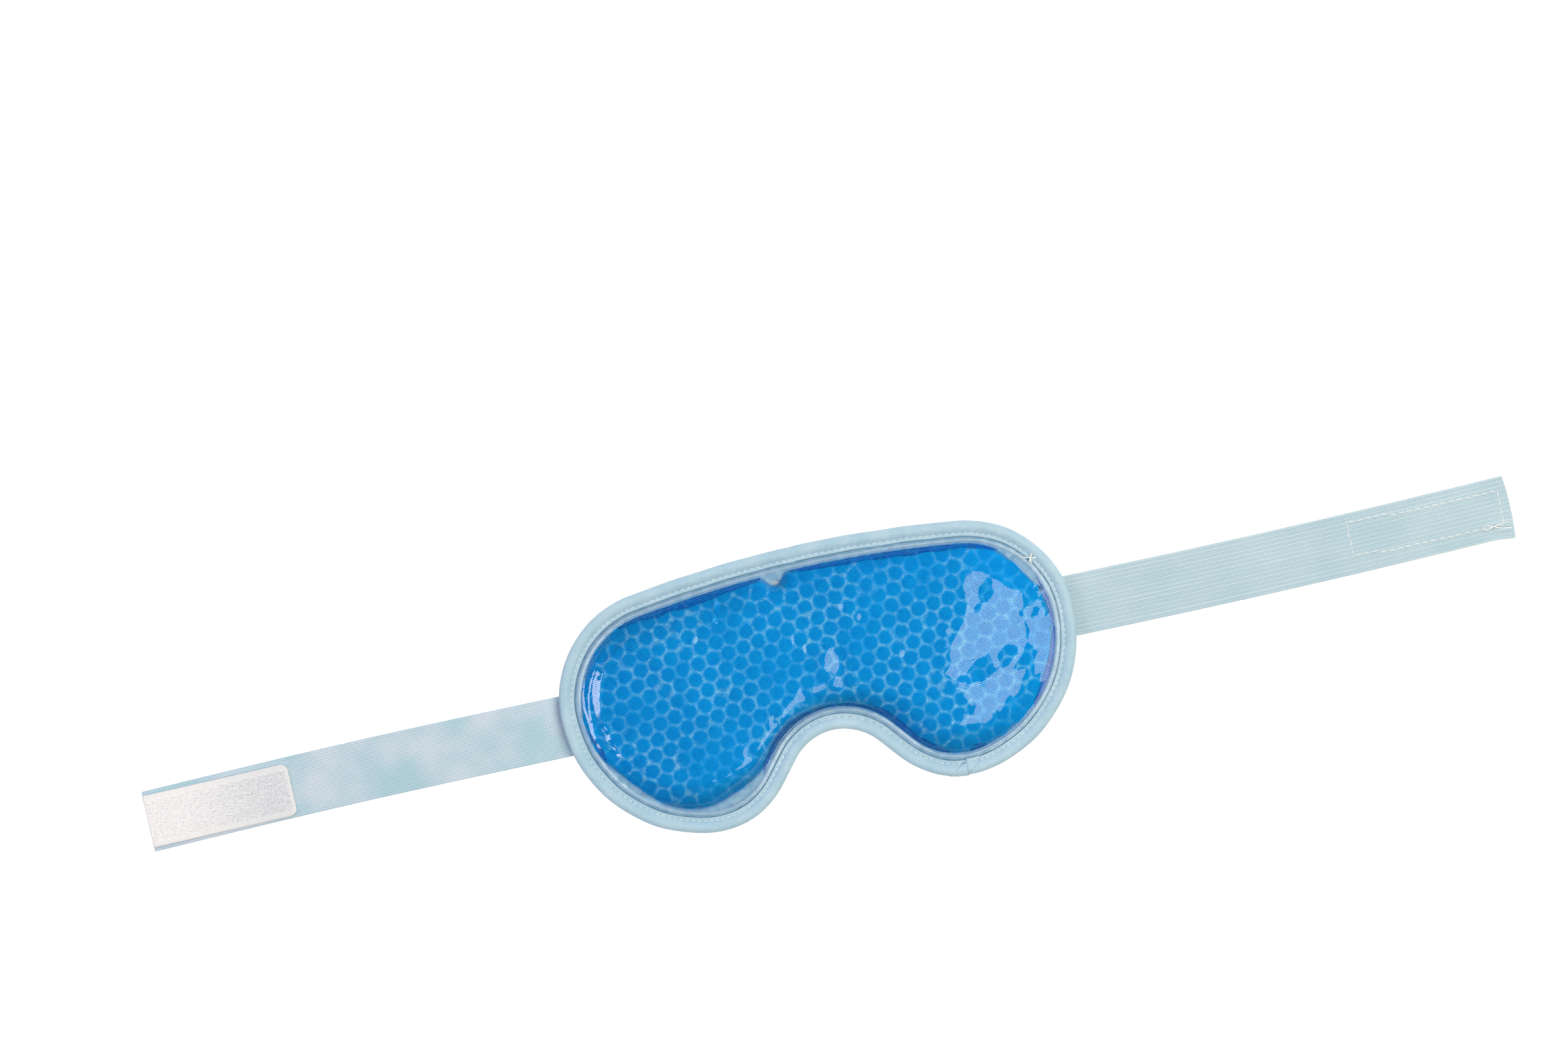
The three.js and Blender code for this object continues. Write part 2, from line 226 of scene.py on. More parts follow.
def grid_faces(rows, columns, wrap_rows=False, wrap_columns=False):
    """Quads of a grid of points stored row by row."""
    i = np.arange(rows if wrap_rows else rows - 1)[:, None]
    j = np.arange(columns if wrap_columns else columns - 1)[None, :]
    down, right = (i + 1) % rows, (j + 1) % columns
    corners = [i * columns + j, i * columns + right, down * columns + right, down * columns + j]
    return np.stack([c + 0 * (i + j) for c in corners], -1).reshape(-1, 4)


def facing_out(points, faces):
    """The faces, turned so that the closed mesh that they make faces out."""
    a, b, c = (points[faces[:, k]] for k in (0, 1, 2))
    volume = np.einsum("ij,ij->i", a, np.cross(b, c)).sum()
    if faces.shape[1] == 4:
        volume += np.einsum("ij,ij->i", a, np.cross(c, points[faces[:, 3]])).sum()
    return faces if volume > 0 else faces[:, ::-1]


def make_piece(name, points, faces, material, smooth=True, extra_faces=(), sharp_caps=False):
    """A mesh object from points in millimetres. faces is an array; extra_faces is a list of polygons, which
    sharp_caps keeps flat."""
    mesh = bpy.data.meshes.new(name)
    all_faces = faces.tolist() + [list(f) for f in extra_faces]
    mesh.from_pydata((np.asarray(points) * MM).tolist(), [], all_faces)
    flat_from = len(faces) if sharp_caps else len(all_faces)
    mesh.polygons.foreach_set("use_smooth", [smooth and k < flat_from for k in range(len(all_faces))])
    mesh.materials.append(material)
    mesh.update()
    piece = bpy.data.objects.new(name, mesh)
    bpy.context.scene.collection.objects.link(piece)
    return piece


def set_values(piece, name, values):
    """Stores one number per point, for the piece's material."""
    layer = piece.data.attributes.new(name, "FLOAT", "POINT")
    layer.data.foreach_set("value", np.asarray(values, np.float32).ravel())


def turned_grid(step_along, step_across, turn, keep):
    """Points and quads of a turned grid where keep(x, y) holds, with each point's place across the grid."""
    reach_x, reach_y = GRID_REACH
    u, v = np.meshgrid(np.arange(-reach_x, reach_x, step_along), np.arange(-reach_y, reach_y, step_across))
    x = (u * math.cos(turn) - v * math.sin(turn)).ravel()
    y = (u * math.sin(turn) + v * math.cos(turn)).ravel()
    faces = grid_faces(*u.shape)
    faces = faces[keep(x, y)[faces].all(1)]
    used, faces = np.unique(faces, return_inverse=True)
    return x[used], y[used], v.ravel()[used], faces.reshape(-1, 4)


def mask_grid(depth, spacing, turn=0.0):
    """Points and quads where depth is above 0. The outermost points lie on the line where it is 0."""

    def inside(x, y):
        return (depth(x, y) > -spacing / 2) & (inset_of(x, y) < OFF_OUTLINE / 2)

    x, y, _, faces = turned_grid(spacing, spacing, turn, inside)
    edge = np.zeros(len(x), bool)
    edge[np.unique(rim_edges(faces))] = True
    step = 0.01
    least_slope = 0.3
    for _ in range(3):
        here = depth(x, y)
        slope = np.stack([depth(x + step, y) - here, depth(x, y + step) - here]) / step
        move = np.where(edge | (here < 0), -here, 0) / np.maximum((slope**2).sum(0), least_slope)
        x, y = x + slope[0] * move, y + slope[1] * move
    return x, y, faces


def rim_edges(faces):
    """The directed edges that only one face uses."""
    edges = np.vstack([faces[:, [k, (k + 1) % 4]] for k in range(4)])
    low, high = edges.min(1), edges.max(1)
    key = low * (faces.max() + 1) + high
    _, first, count = np.unique(key, return_index=True, return_counts=True)
    return edges[first[count == 1]]


def closed_layer(x, y, faces, z_low, z_high):
    """A closed solid between two heights over the same grid."""
    count = len(x)
    points = np.vstack([np.column_stack([x, y, z_high]), np.column_stack([x, y, z_low])])
    rim = rim_edges(faces)
    walls = np.column_stack([rim[:, 1], rim[:, 0], rim[:, 0] + count, rim[:, 1] + count])
    return points, np.vstack([faces, faces[:, ::-1] + count, walls])


def end_caps(rows, columns):
    """The polygons that close the two ends of a swept grid."""
    last = (rows - 1) * columns
    return [list(range(columns)), list(range(last, last + columns))[::-1]]


def turned(caps):
    return [cap[::-1] for cap in caps]


def tube(route, radius, sides=8):
    """A round thread along a route of points: points, faces and end caps. radius may vary along it."""
    route = np.asarray(route, float)
    radius = np.broadcast_to(radius, len(route))
    along = np.gradient(route, axis=0)
    along /= np.linalg.norm(along, axis=1)[:, None]
    side = np.cross(along, UP)
    side = np.where(np.abs(side).max(1)[:, None] < 1e-6, (1, 0, 0), side)
    side /= np.linalg.norm(side, axis=1)[:, None]
    lift = np.cross(side, along)
    angle = np.linspace(0, 2 * math.pi, sides, endpoint=False)
    ring = side[:, None] * np.cos(angle)[:, None] + lift[:, None] * np.sin(angle)[:, None]
    points = (route[:, None] + ring * radius[:, None, None]).reshape(-1, 3)
    faces = grid_faces(len(route), sides, wrap_columns=True)
    caps = end_caps(len(route), sides)
    if facing_out(points, faces)[0, 0] != faces[0, 0]:
        return points, faces[:, ::-1], turned(caps)
    return points, faces, caps


def joined(parts):
    """One piece's points, faces and caps from several."""
    points, faces, caps, offset = [], [], [], 0
    for part_points, part_faces, part_caps in parts:
        points.append(part_points)
        faces.append(part_faces + offset)
        caps += [[v + offset for v in cap] for cap in part_caps]
        offset += len(part_points)
    return np.vstack(points), np.vstack(faces), caps


def smooth_route(points, count):
    """A smooth curve through a few points."""
    points = np.asarray(points, float)
    ends = np.vstack([2 * points[0] - points[1], points, 2 * points[-1] - points[-2]])
    t = np.linspace(0, len(points) - 1, count)
    k = np.minimum(t.astype(int), len(points) - 2)
    f = (t - k)[:, None]
    a, b, c, d = (ends[k + i] for i in range(4))
    return 0.5 * (2 * b + (c - a) * f + (2 * a - 5 * b + 4 * c - d) * f**2 + (3 * b - a - 3 * c + d) * f**3)


def set_corner_values(piece, name, values, lap):
    """Stores one number per face corner, for a value that starts again after lap."""
    corners = np.array([loop.vertex_index for loop in piece.data.loops])
    faces = np.array([[poly.loop_start, poly.loop_total] for poly in piece.data.polygons])
    at_corner = np.asarray(values)[corners]
    highest = np.maximum.reduceat(at_corner, faces[:, 0])
    wraps = np.repeat(highest > lap * 0.75, faces[:, 1]) & (at_corner < lap * 0.25)
    layer = piece.data.attributes.new(name, "FLOAT", "CORNER")
    layer.data.foreach_set("value", np.where(wraps, at_corner + lap, at_corner).astype(np.float32))


def copied_piece(name, template, frames, material):
    """One piece of many copies of a template (points, faces and caps). Each frame is an origin and the x, y
    and z axes."""
    model, model_faces, caps = template
    points, faces, ends = [], [], []
    for k, (origin, ax, ay, az) in enumerate(frames):
        offset = k * len(model)
        points.append(origin + model[:, :1] * ax + model[:, 1:2] * ay + model[:, 2:] * az)
        faces.append(model_faces + offset)
        ends += [[v + offset for v in cap] for cap in caps]
    return make_piece(name, np.vstack(points), np.vstack(faces), material, extra_faces=ends)


def ring_sweep(profile, spacing=0.5, change=None):
    """A closed band along the outline. profile is a closed loop of (inset, z). change(points, inset, s,
    normals) may move the points after they are placed, and s is how far along the outline each loop is."""
    base, normals, s = outline(spacing)
    inset, z = profile[:, 0], profile[:, 1]
    flat = base[:, None, :] - normals[:, None, :] * inset[None, :, None]
    points = np.concatenate([flat, np.broadcast_to(z[None, :, None], flat.shape[:2] + (1,))], -1)
    if change is not None:
        points = change(points, inset, s[:-1], normals)
    rows, columns = points.shape[:2]
    flat_points = points.reshape(-1, 3)
    return flat_points, facing_out(flat_points, grid_faces(rows, columns, True, True))


def across_lobes(piece, slot, *nodes):
    """The piece spans both lobes, and stands for these CAD layers."""
    start = ((FOLD_X - FOLD_REACH) * MM, 0, 0)
    end = ((FOLD_X + FOLD_REACH) * MM, 0, 0)
    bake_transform(piece)
    for node in nodes:
        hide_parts(f"{node}_left", f"{node}_right")


def rides(piece, body, slot, *nodes):
    """The piece moves with one body, and stands for these CAD nodes."""
    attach(piece, body)
    for node in nodes:
        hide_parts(node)


# ---- Materials ----


def put(tree, kind, inputs=(), **settings):
    """A new node, with its inputs set to numbers, or linked from values that other nodes work out."""
    node = tree.nodes.new(kind)
    for key, value in settings.items():
        setattr(node, key, value)
    for key, value in dict(inputs).items():
        if isinstance(value, Value):
            tree.links.new(value.socket, node.inputs[key])
        else:
            node.inputs[key].default_value = value
    return node


class Value:
    """What a node of a material works out, for use in sums and in other nodes."""

    def __init__(self, tree, socket):
        self.tree, self.socket = tree, socket

    def node(self, kind, inputs, output=0, **settings):
        return Value(self.tree, put(self.tree, kind, inputs, **settings).outputs[output])

    def math(self, operation, *others):
        inputs = dict(enumerate((self, *others)))
        return self.node("ShaderNodeMath", inputs, operation=operation)

    def __add__(self, other):
        return self.math("ADD", other)

    def __sub__(self, other):
        return self.math("SUBTRACT", other)

    def __mul__(self, other):
        return self.math("MULTIPLY", other)

    def __pow__(self, other):
        return self.math("POWER", other)

    def __abs__(self):
        return self.math("ABSOLUTE")

    def remap(self, low, high, to_low=0.0, to_high=1.0):
        return self.node("ShaderNodeMapRange", {0: self, 1: low, 2: high, 3: to_low, 4: to_high})

    def wave(self, pitch_mm):
        """A cosine from 0 to 1, with this pitch."""
        angle = self * (2 * math.pi / pitch_mm)
        return angle.math("COSINE") * 0.5 + 0.5

    def mix(self, a, b):
        """A colour from a to b, as this value goes from 0 to 1."""
        a, b = (v if isinstance(v, Value) else (*v, 1) for v in (a, b))
        return self.node("ShaderNodeMix", {0: self, 6: a, 7: b}, output=2, data_type="RGBA")

    def noise(self, size_mm, detail=2.0, roughness=0.5):
        inputs = {"Vector": self, "Scale": 1 / size_mm, "Detail": detail, "Roughness": roughness}
        return self.node("ShaderNodeTexNoise", inputs)

    def cloud(self, size_mm):
        """Soft patches of about this size, from 0 to 1."""
        return self.noise(size_mm).remap(0.35, 0.65)


class Material:
    """A new material, and what its nodes start from."""

    def __init__(self, name, roughness, specular, sheen=0.0):
        self.material = bpy.data.materials.new(name)
        self.material.use_nodes = True
        self.tree = self.material.node_tree
        self.shader = self.tree.nodes["Principled BSDF"]
        self.set("Roughness", roughness)
        self.set("Specular IOR Level", specular)
        self.set("Sheen Weight", sheen)
        metres = self.node("ShaderNodeTexCoord", output="Object")
        self.place = self.node("ShaderNodeVectorMath", {0: metres, "Scale": 1 / MM}, operation="SCALE")

    def node(self, kind, inputs=(), output=0, **settings):
        return Value(self.tree, put(self.tree, kind, inputs, **settings).outputs[output])

    def set(self, name, value):
        self.shader.inputs[name].default_value = value

    def axis(self, name):
        return self.node("ShaderNodeSeparateXYZ", {0: self.place}, output=name)

    def read(self, name):
        """A number that is stored on the mesh."""
        return self.node("ShaderNodeAttribute", output="Fac", attribute_name=name)

    def colour(self, colour):
        self.tree.links.new(colour.socket, self.shader.inputs["Base Color"])
        return self.material

    def bump(self, height, distance_mm):
        inputs = {"Height": height, "Distance": distance_mm * MM, "Strength": 1.0}
        normal = self.node("ShaderNodeBump", inputs)
        self.tree.links.new(normal.socket, self.shader.inputs["Normal"])


def tape_material():
    """Satin twill: a fine diagonal rib, with a soft sheen, and needle holes along the seam."""
    m = Material("binding_tape", 0.55, 0.35, sheen=0.25)
    m.set("Sheen Roughness", 0.4)
    along, across = m.read("along"), m.read("across")
    rib = (across * 0.45 + along).wave(0.55)
    colour = m.place.cloud(9).mix((0.385, 0.595, 0.765), (0.465, 0.66, 0.81))
    thread = m.place.noise(0.45).remap(0.3, 0.7, 0.3, 0.7)
    shaded = (rib * thread).mix(colour, (0.25, 0.43, 0.6))
    hole = along.wave(STITCH_STEP) ** 14.0
    seam = abs(across - FRONT_SEAM_INSET).remap(0.4, 0.1)
    m.bump(rib * -0.6 + m.place.noise(0.35, 3), 0.06)
    return m.colour((hole * seam * 0.4).mix(shaded, (0.12, 0.26, 0.36)))


def elastic_material():
    """Knitted elastic: rows of small openings on one face, and fine raised cords on the other."""
    m = Material("ribbed_elastic", 0.75, 0.25, sheen=0.2)
    across, knit = m.read("across"), m.read("knit")
    row = (across * (1 / RIB_PITCH)).math("ROUND")
    opening = (m.axis("X") * (2 * math.pi / KNIT_PITCH) + row * math.pi).math("COSINE") * 0.5 + 0.5
    hole = opening**1.3 * across.wave(RIB_PITCH) ** 1.2
    depth = hole * (knit * 0.45 + 0.45)
    stretched = m.node("ShaderNodeCombineXYZ", {0: m.axis("X") * 0.03, 1: across})
    uneven = stretched.noise(1.6, 1).remap(0.35, 0.6, 0.35, 1.0)
    cords = across.wave(CORD_PITCH) ** 5.0 * uneven * (knit * -0.35 + 0.5)
    cloud = m.place.cloud(22)
    back = cloud.mix((0.43, 0.6, 0.74), (0.48, 0.635, 0.78))
    front = cloud.mix((0.45, 0.66, 0.8), (0.66, 0.75, 0.92))
    colour = cords.mix(knit.mix(back, front), (0.74, 0.86, 0.92))
    m.bump(hole * -1.5 + (m.place.noise(0.22, 3) + cords), 0.08)
    return m.colour(depth.mix(colour, (0.13, 0.34, 0.44)))


def thread_material(name, colour, other):
    """Plain fibres, with a little change of colour."""
    m = Material(name, 0.85, 0.2, sheen=0.15)
    m.bump(m.place.noise(0.15, 3), 0.05)
    return m.colour(m.place.cloud(3).mix(colour, other))


def hook_fade(m):
    """How far each point is towards the hook patch's inner end, from 0 to 1."""
    low, high = box_mm("hook_patch")
    return m.axis("X").remap(low[0] + 15, high[0] - 10)


def hook_material():
    """The hook tape's woven base, white, with a fine speckle and grey lines between its selvage ribs."""
    m = Material("hook_tape", 0.5, 0.4)
    low, high = box_mm("hook_patch")
    middle, half = (low[1] + high[1]) / 2, (high[1] - low[1]) / 2
    edge = abs(m.axis("Y") - middle).remap(half - 2.6, half - 2.2)
    lines = (m.axis("X").wave(SELVAGE_PITCH) * -1 + 1) * edge
    speckle = m.place.noise(0.5, 4, 0.7).remap(0.3, 0.75, 0.3, 0.8)
    ground = hook_fade(m).mix((0.82, 0.82, 0.88), (0.55, 0.6, 0.7))
    colour = speckle.mix(ground, (0.86, 0.89, 0.94))
    m.bump(speckle, 0.06)
    return m.colour((lines * 0.35).mix(colour, (0.55, 0.62, 0.72)))


def hook_hair_material():
    """Clear white nylon."""
    m = Material("hook_hair", 0.35, 0.5)
    shade = hook_fade(m) * m.place.noise(1.5, 3).remap(0.35, 0.65, 0.7, 1.2)
    return m.colour(shade.mix((0.86, 0.9, 1.0), (0.58, 0.66, 0.78)))


def loop_material():
    """Pale blue brushed loops."""
    m = Material("loop_tape", 0.9, 0.15, sheen=0.3)
    fuzz = m.place.noise(0.6, 4, 0.7).remap(0.35, 0.7)
    m.bump(fuzz, 0.15)
    return m.colour(fuzz.mix((0.72, 0.78, 0.86), (0.88, 0.91, 0.95)))


def plush_material():
    """Coral fleece, with painted shade where the pile is brushed the other way and painted shade down between
    its tufts.
    """
    m = Material("coral_fleece", 0.95, 0.1, sheen=0.35)
    light = m.place.cloud(0.8).mix((0.52, 0.76, 0.91), (0.66, 0.85, 0.96))
    # Painted shade where the pile is brushed the other way.
    colour = (m.read("brushed") * 0.75).mix(light, (0.34, 0.62, 0.86))
    m.bump(m.place.noise(0.3, 3), 0.1)
    # Painted shade down between the tufts: darkest at the pile's roots and on the cloth, whose tip is 0.
    return m.colour((m.read("tip") * -0.5 + 0.5).mix(colour, (0.34, 0.58, 0.78)))


def network(m):
    """The pale network between beads, from 0 to 1: its lines, and its spots where three beads meet."""
    patchy = m.place.noise(17).remap(0.36, 0.56, 0.25, 1.0)
    fine = m.place.noise(1.5, 3).remap(0.35, 0.62, 0.15, 1.0)
    seen = patchy * fine * m.read("depth").remap(0.5, 2.5)
    foam = m.place.noise(7).remap(0.58, 0.7, 0.0, 2.4)
    return m.read("between").remap(1.7, 0.0) * seen, m.read("corner").remap(foam + 2.0, 0.2) * seen


def gel_material():
    """Azure gel beads in azure liquid over pale foam: paler along the lines where beads meet."""
    m = Material("gel", 0.6, 0.0)
    out = m.place.cloud(9) * 0.35 + m.read("near").remap(2.2, 3.4, 0, 0.65)
    ground = out.mix((0.0, 0.275, 0.79), (0.0, 0.375, 0.92))
    line, spot = network(m)
    lined = (line * 0.6).mix(ground, (0.05, 0.5, 0.92))
    return m.colour((spot * 0.6).mix(lined, (0.3, 0.68, 0.95)))


def edge_liquid_material():
    """The clear ultramarine liquid that gathers along the weld."""
    m = Material("edge_liquid", 0.3, 0.2)
    return m.colour(m.place.cloud(5).mix((0.0, 0.045, 0.52), (0.0, 0.09, 0.64)))


def film_material():
    """Clear glossy film. Its moulded ribs scatter a little light as fine lines, palest over the network."""
    m = Material("ribbed_film", 0.5, 0.0)
    across = m.axis("Y") * math.cos(RIB_ANGLE) - m.axis("X") * math.sin(RIB_ANGLE)
    line = across.wave(FILM_RIB_PITCH) ** 1.5
    broken = m.place.noise(2.2).remap(0.34, 0.62, 0.5, 1.0)
    pale = m.node("ShaderNodeMath", dict(enumerate(network(m))), operation="MAXIMUM")
    over_gel = m.read("depth").remap(-0.9, 0.0)
    haze = line * broken * (pale * 0.3 + (over_gel * 0.34 + 0.25))
    over_bead = pale.mix((0.005, 0.46, 0.88), (0.36, 0.76, 0.98))
    m.colour(over_gel.mix((0.42, 0.65, 0.87), over_bead))
    clear = m.node("ShaderNodeBsdfTransparent")
    gloss = m.node("ShaderNodeBsdfGlossy", {"Color": (0.95, 0.95, 0.95, 1), "Roughness": 0.015})
    mirror = m.node("ShaderNodeFresnel", {"IOR": 1.5}) * (line * 0.5 + 0.7)
    scattered = Value(m.tree, m.shader.outputs[0])
    seen_through = m.node("ShaderNodeMixShader", {0: haze, 1: clear, 2: scattered})
    coated = m.node("ShaderNodeMixShader", {0: mirror, 1: seen_through, 2: gloss})
    m.tree.links.new(coated.socket, m.tree.nodes["Material Output"].inputs["Surface"])
    return m.material


def weld_material():
    """Film pressed double round the gel, over pale fleece: cloudy and blue by the gel, with a painted
    highlight along the weld's crest and a painted shadow along the tape's lip.
    """
    m = Material("film_weld", 0.35, 0.3)
    pale = m.place.cloud(4).mix((0.22, 0.46, 0.72), (0.36, 0.6, 0.84))
    inset = m.read("inset")
    # Painted highlight: the weld's crest is drawn paler.
    crest_highlight = abs(inset - WELD_INSET).remap(0.9, 0.2)
    with_crest_highlight = (crest_highlight * 0.5).mix(pale, (0.6, 0.74, 0.92))
    # Painted shadow: darker under and just inside the tape's upper lip, where the tape overhangs the weld.
    gap = inset.remap(UPPER_LIP + 0.55, UPPER_LIP + 0.15)
    shaded = (gap * 0.85).mix(with_crest_highlight, (0.1, 0.28, 0.46))
    return m.colour((m.read("depth").remap(-2.0, 0.0) ** 2.0).mix(shaded, (0.08, 0.3, 0.72)))


def film_sheet_material():
    """The back film, over pale fleece."""
    m = Material("back_film", 0.35, 0.4)
    return m.colour(m.place.cloud(6).mix((0.3, 0.48, 0.68), (0.46, 0.62, 0.78)))


# ---- The gel window ----

RIB_ANGLE = math.radians(5.6)
FILM_RIB_PITCH = 0.75
FILM_RIB_HEIGHT = 0.004
BEAD_PITCH = 6.5
BEAD_EDGE_DEPTH = 2.7
BEAD_HALF_HEIGHT = 2.6
BEAD_SEGMENTS = 22
BEAD_RINGS = 9
BEAD_FLOOR_GAP = 0.1
BEAD_UNDER_FILM = 0.25
DOME_WIDTH = 16
DOME_SHAPE = 2.3
NARROWER_BY_NOSE = 9.5
NARROWER_AT_LEFT = 5
WELD_INSET = 7.9
WELD_WIDTH = 0.6
WELD_HEIGHT = 0.37
KNURL_PITCH = 0.75
KNURL_SLANT = 0.55
KNURL_HEIGHT = 0.13
FLANGE_INSETS = (4.6, 9.3, 10.2)
FLANGE_DEPTH = 0.8
FLANGE_LAP = 1.4
STRETCH_FROM = 8.6
STRETCH_FADE = 1.6
FILM_EDGE_INSET = 1.4
BACK_FILM_EDGE_INSET = 1.5

# Small facets of the film, as (x, y, reach in x, reach in y, fall to the right in mm per mm).
FACETS = [
    (5.8, 1.2, 5.6, 5.8, 0.2),
    (6.2, -8.6, 3.2, 3.4, 0.22),
    (-7.5, 13.5, 1.2, 2.0, 0.25),
    (-3.6, 8.6, 1.2, 2.1, 0.25),
    (14.5, 22, 1.8, 1.3, 0.25),
    (20.5, 16.5, 1.8, 1.4, 0.25),
    (-34, 34, 1.7, 2.2, 0.45),
    (-36, 28, 1.6, 2.0, 0.4),
    (-46, 22, 1.9, 1.4, 0.4),
    (34, -2, 1.9, 1.5, 0.25),
    (-33, -28, 3.4, 3.4, -0.16),
    (-20, -17.5, 3.4, 3.4, -0.16),
    (-6.5, -9, 3.2, 3.0, -0.14),
    (67, -14.5, 13, 4.5, -0.15),
    (77, -12, 7, 5, -0.12),
    (74, 15.5, 6.5, 7.5, -0.12),
    (82.8, -3.3, 2.6, 5.5, -0.14),
    (67.8, 9, 2.4, 1.7, -0.14),
    (93.5, 10.9, 3.2, 2.2, -0.2),
    (93.2, 1.8, 2, 1.4, -0.2),
    (63.7, -32.9, 2.4, 2, -0.14),
    (72, -33, 6, 6, 0.05),
]

# The pouch's fill port, which no bead lies in, and where the gel stops further in than the weld, as (x, y,
# how much further, radius).
PORT = (-9.7, 38.5)
PORT_CLEAR = 6.5
GEL_RETREATS = [
    (*PORT, 6.0, 3.4),
    (97, 25, 4.4, 12),
    (-92, -36, 3.8, 13),
    (-42, -46, 3.6, 13),
    (-66, -58, 0.6, 12),
    (-104, 20, 1.0, 12),
    (-104, -4, -1.0, 17),
]


def gel_depth(x, y):
    """How far inside the gel's edge each point is."""
    depth = inset_of(x, y) - GEL_INSET
    for centre_x, centre_y, further, radius in GEL_RETREATS:
        depth = depth - further * np.exp(-((x - centre_x) ** 2 + (y - centre_y) ** 2) / radius**2)
    return depth


def crown_drop(x, y):
    """How far the film falls towards the outer ends of the lobes. It starts at a winding crease."""
    crease = 56.5 + 6 * np.tanh((y - 1) / 6) + 0.35 * np.clip(-y - 16, 0, None)
    out = np.clip(np.abs(x - FOLD_X) - crease, 0, None)
    slope, curve, crease_radius = 0.11, 0.0008, 1.2
    return slope * (out**2 / (out + crease_radius)) + curve * out**2


def side_wrinkles(x, y, inset):
    """Two wavy creases down the left end of the window, which meet and part."""
    start_x, half_length, fade = -62, 36, 8
    near = smoothstep((start_x - x) / fade) * smoothstep((half_length - np.abs(y + 2)) / fade)
    sway = 1.2 * ripple(x * 0, y, 24, 31) + 0.5 * ripple(x * 0, y, 9, 32)
    first = 0.34 * bump_at(inset, 12.2 + sway, 1.2)
    second = 0.3 * bump_at(inset, 16.2 - 1.3 * sway, 1.3)
    return near * (first + second)


def film_base(x, y):
    """The film's height without ribs or dimples: a flat flange with its weld, then the dome over the gel."""
    inset = inset_of(x, y)
    beside_nose = np.exp(-(((x + 23) / 34) ** 2) - ((y + 22) / 22) ** 2)
    far_left = smoothstep((-x - 76) / 16)
    width = DOME_WIDTH - NARROWER_BY_NOSE * beside_nose - NARROWER_AT_LEFT * far_left
    t = np.clip((gel_depth(x, y) + 0.3) / width, 0, 1)
    dome = 1 - (1 - t) ** DOME_SHAPE
    nose_dip = 0.25 * bump_at(x, 0, 18)
    height = DOME_TOP_Z - FLANGE_Z - crown_drop(x, y) - nose_dip
    right = smoothstep((x - 62) / 10)
    swell = 0.2 * ripple(x, y, 34, 3) + (0.04 + 0.1 * right) * ripple(x, y, 13, 4)
    swell = swell + side_wrinkles(x, y, inset)
    weld = WELD_HEIGHT * bump_at(inset, WELD_INSET, WELD_WIDTH)
    return FLANGE_Z + weld + 0.04 * ripple(x, y, 5, 5) + dome * height + smoothstep(t * 5) * swell


def pack_beads():
    """Centres of the beads: a close-packed layer, shaken, then pushed apart and in from the edge."""
    rng = np.random.default_rng(11)
    rows = np.arange(-60, 56, BEAD_PITCH * math.sqrt(3) / 2)
    columns = np.arange(-GRID_REACH[0], GRID_REACH[0], BEAD_PITCH)
    lattice = [(x + (k % 2) * BEAD_PITCH / 2, y) for k, y in enumerate(rows) for x in columns]
    turn = math.radians(8)
    shake = 1.2
    spots = np.array(lattice) @ np.array([unit(turn), unit(turn + math.pi / 2)])
    spots = spots[on_mask(*spots.T, 0) & (gel_depth(*spots.T) > BEAD_EDGE_DEPTH - shake)]
    spots = spots[np.linalg.norm(spots - PORT, axis=1) > PORT_CLEAR]
    spots = spots + rng.normal(0, shake, spots.shape)
    step = 0.01
    rounds = 22
    for _ in range(rounds):
        apart = spots[:, None] - spots[None]
        distance = np.linalg.norm(apart, axis=-1) + np.eye(len(spots)) * 1e3
        push = np.clip(1 - distance / (BEAD_PITCH * 1.01), 0, None)
        spots = spots + 0.9 * (apart / distance[..., None] * push[..., None]).sum(1) * BEAD_PITCH / 2
        x, y = spots.T
        depth = gel_depth(x, y)
        slope = np.stack([gel_depth(x + step, y) - depth, gel_depth(x, y + step) - depth], -1) / step
        spots = spots + slope * np.clip(BEAD_EDGE_DEPTH - depth, 0, 2)[:, None]
    return spots


BEADS = pack_beads()


def bead_distances(x, y):
    """Distances to the three nearest beads' centres, nearest first."""
    x, y = np.ravel(x), np.ravel(y)
    nearest = np.empty((len(x), 3))
    batch = 20000
    for start in range(0, len(x), batch):
        part = slice(start, start + batch)
        away = np.hypot(x[part, None] - BEADS[:, 0], y[part, None] - BEADS[:, 1])
        nearest[part] = np.sort(np.partition(away, 2, axis=1)[:, :3], axis=1)
    return nearest


def facet_height(x, y):
    """How far the facets lift or press the film."""
    height = 0
    for facet_x, facet_y, reach_x, reach_y, fall in FACETS:
        within = ((x - facet_x) / reach_x) ** 2 + ((y - facet_y) / reach_y) ** 2
        height = height - fall * (x - facet_x) * np.exp(-(within**2))
    return height


def film_height(x, y):
    """The film's height with its dimples between beads, and its facets."""
    x, y = np.ravel(x), np.ravel(y)
    near = np.clip(bead_distances(x, y)[:, 0] / (BEAD_PITCH / 2), 0, 1.2)
    dimple = 0.035
    return film_base(x, y) + facet_height(x, y) - dimple * near**2 * smoothstep((gel_depth(x, y) - 1.5) / 3)


def set_gel_values(piece, points):
    """Stores what the gel's materials need: the depth inside its edge, and how the nearest beads lie."""
    x, y = points[:, 0], points[:, 1]
    nearest = bead_distances(x, y)
    set_values(piece, "depth", gel_depth(x, y))
    set_values(piece, "near", nearest[:, 0])
    set_values(piece, "between", nearest[:, 1] - nearest[:, 0])
    set_values(piece, "corner", nearest[:, 2] - nearest[:, 0])


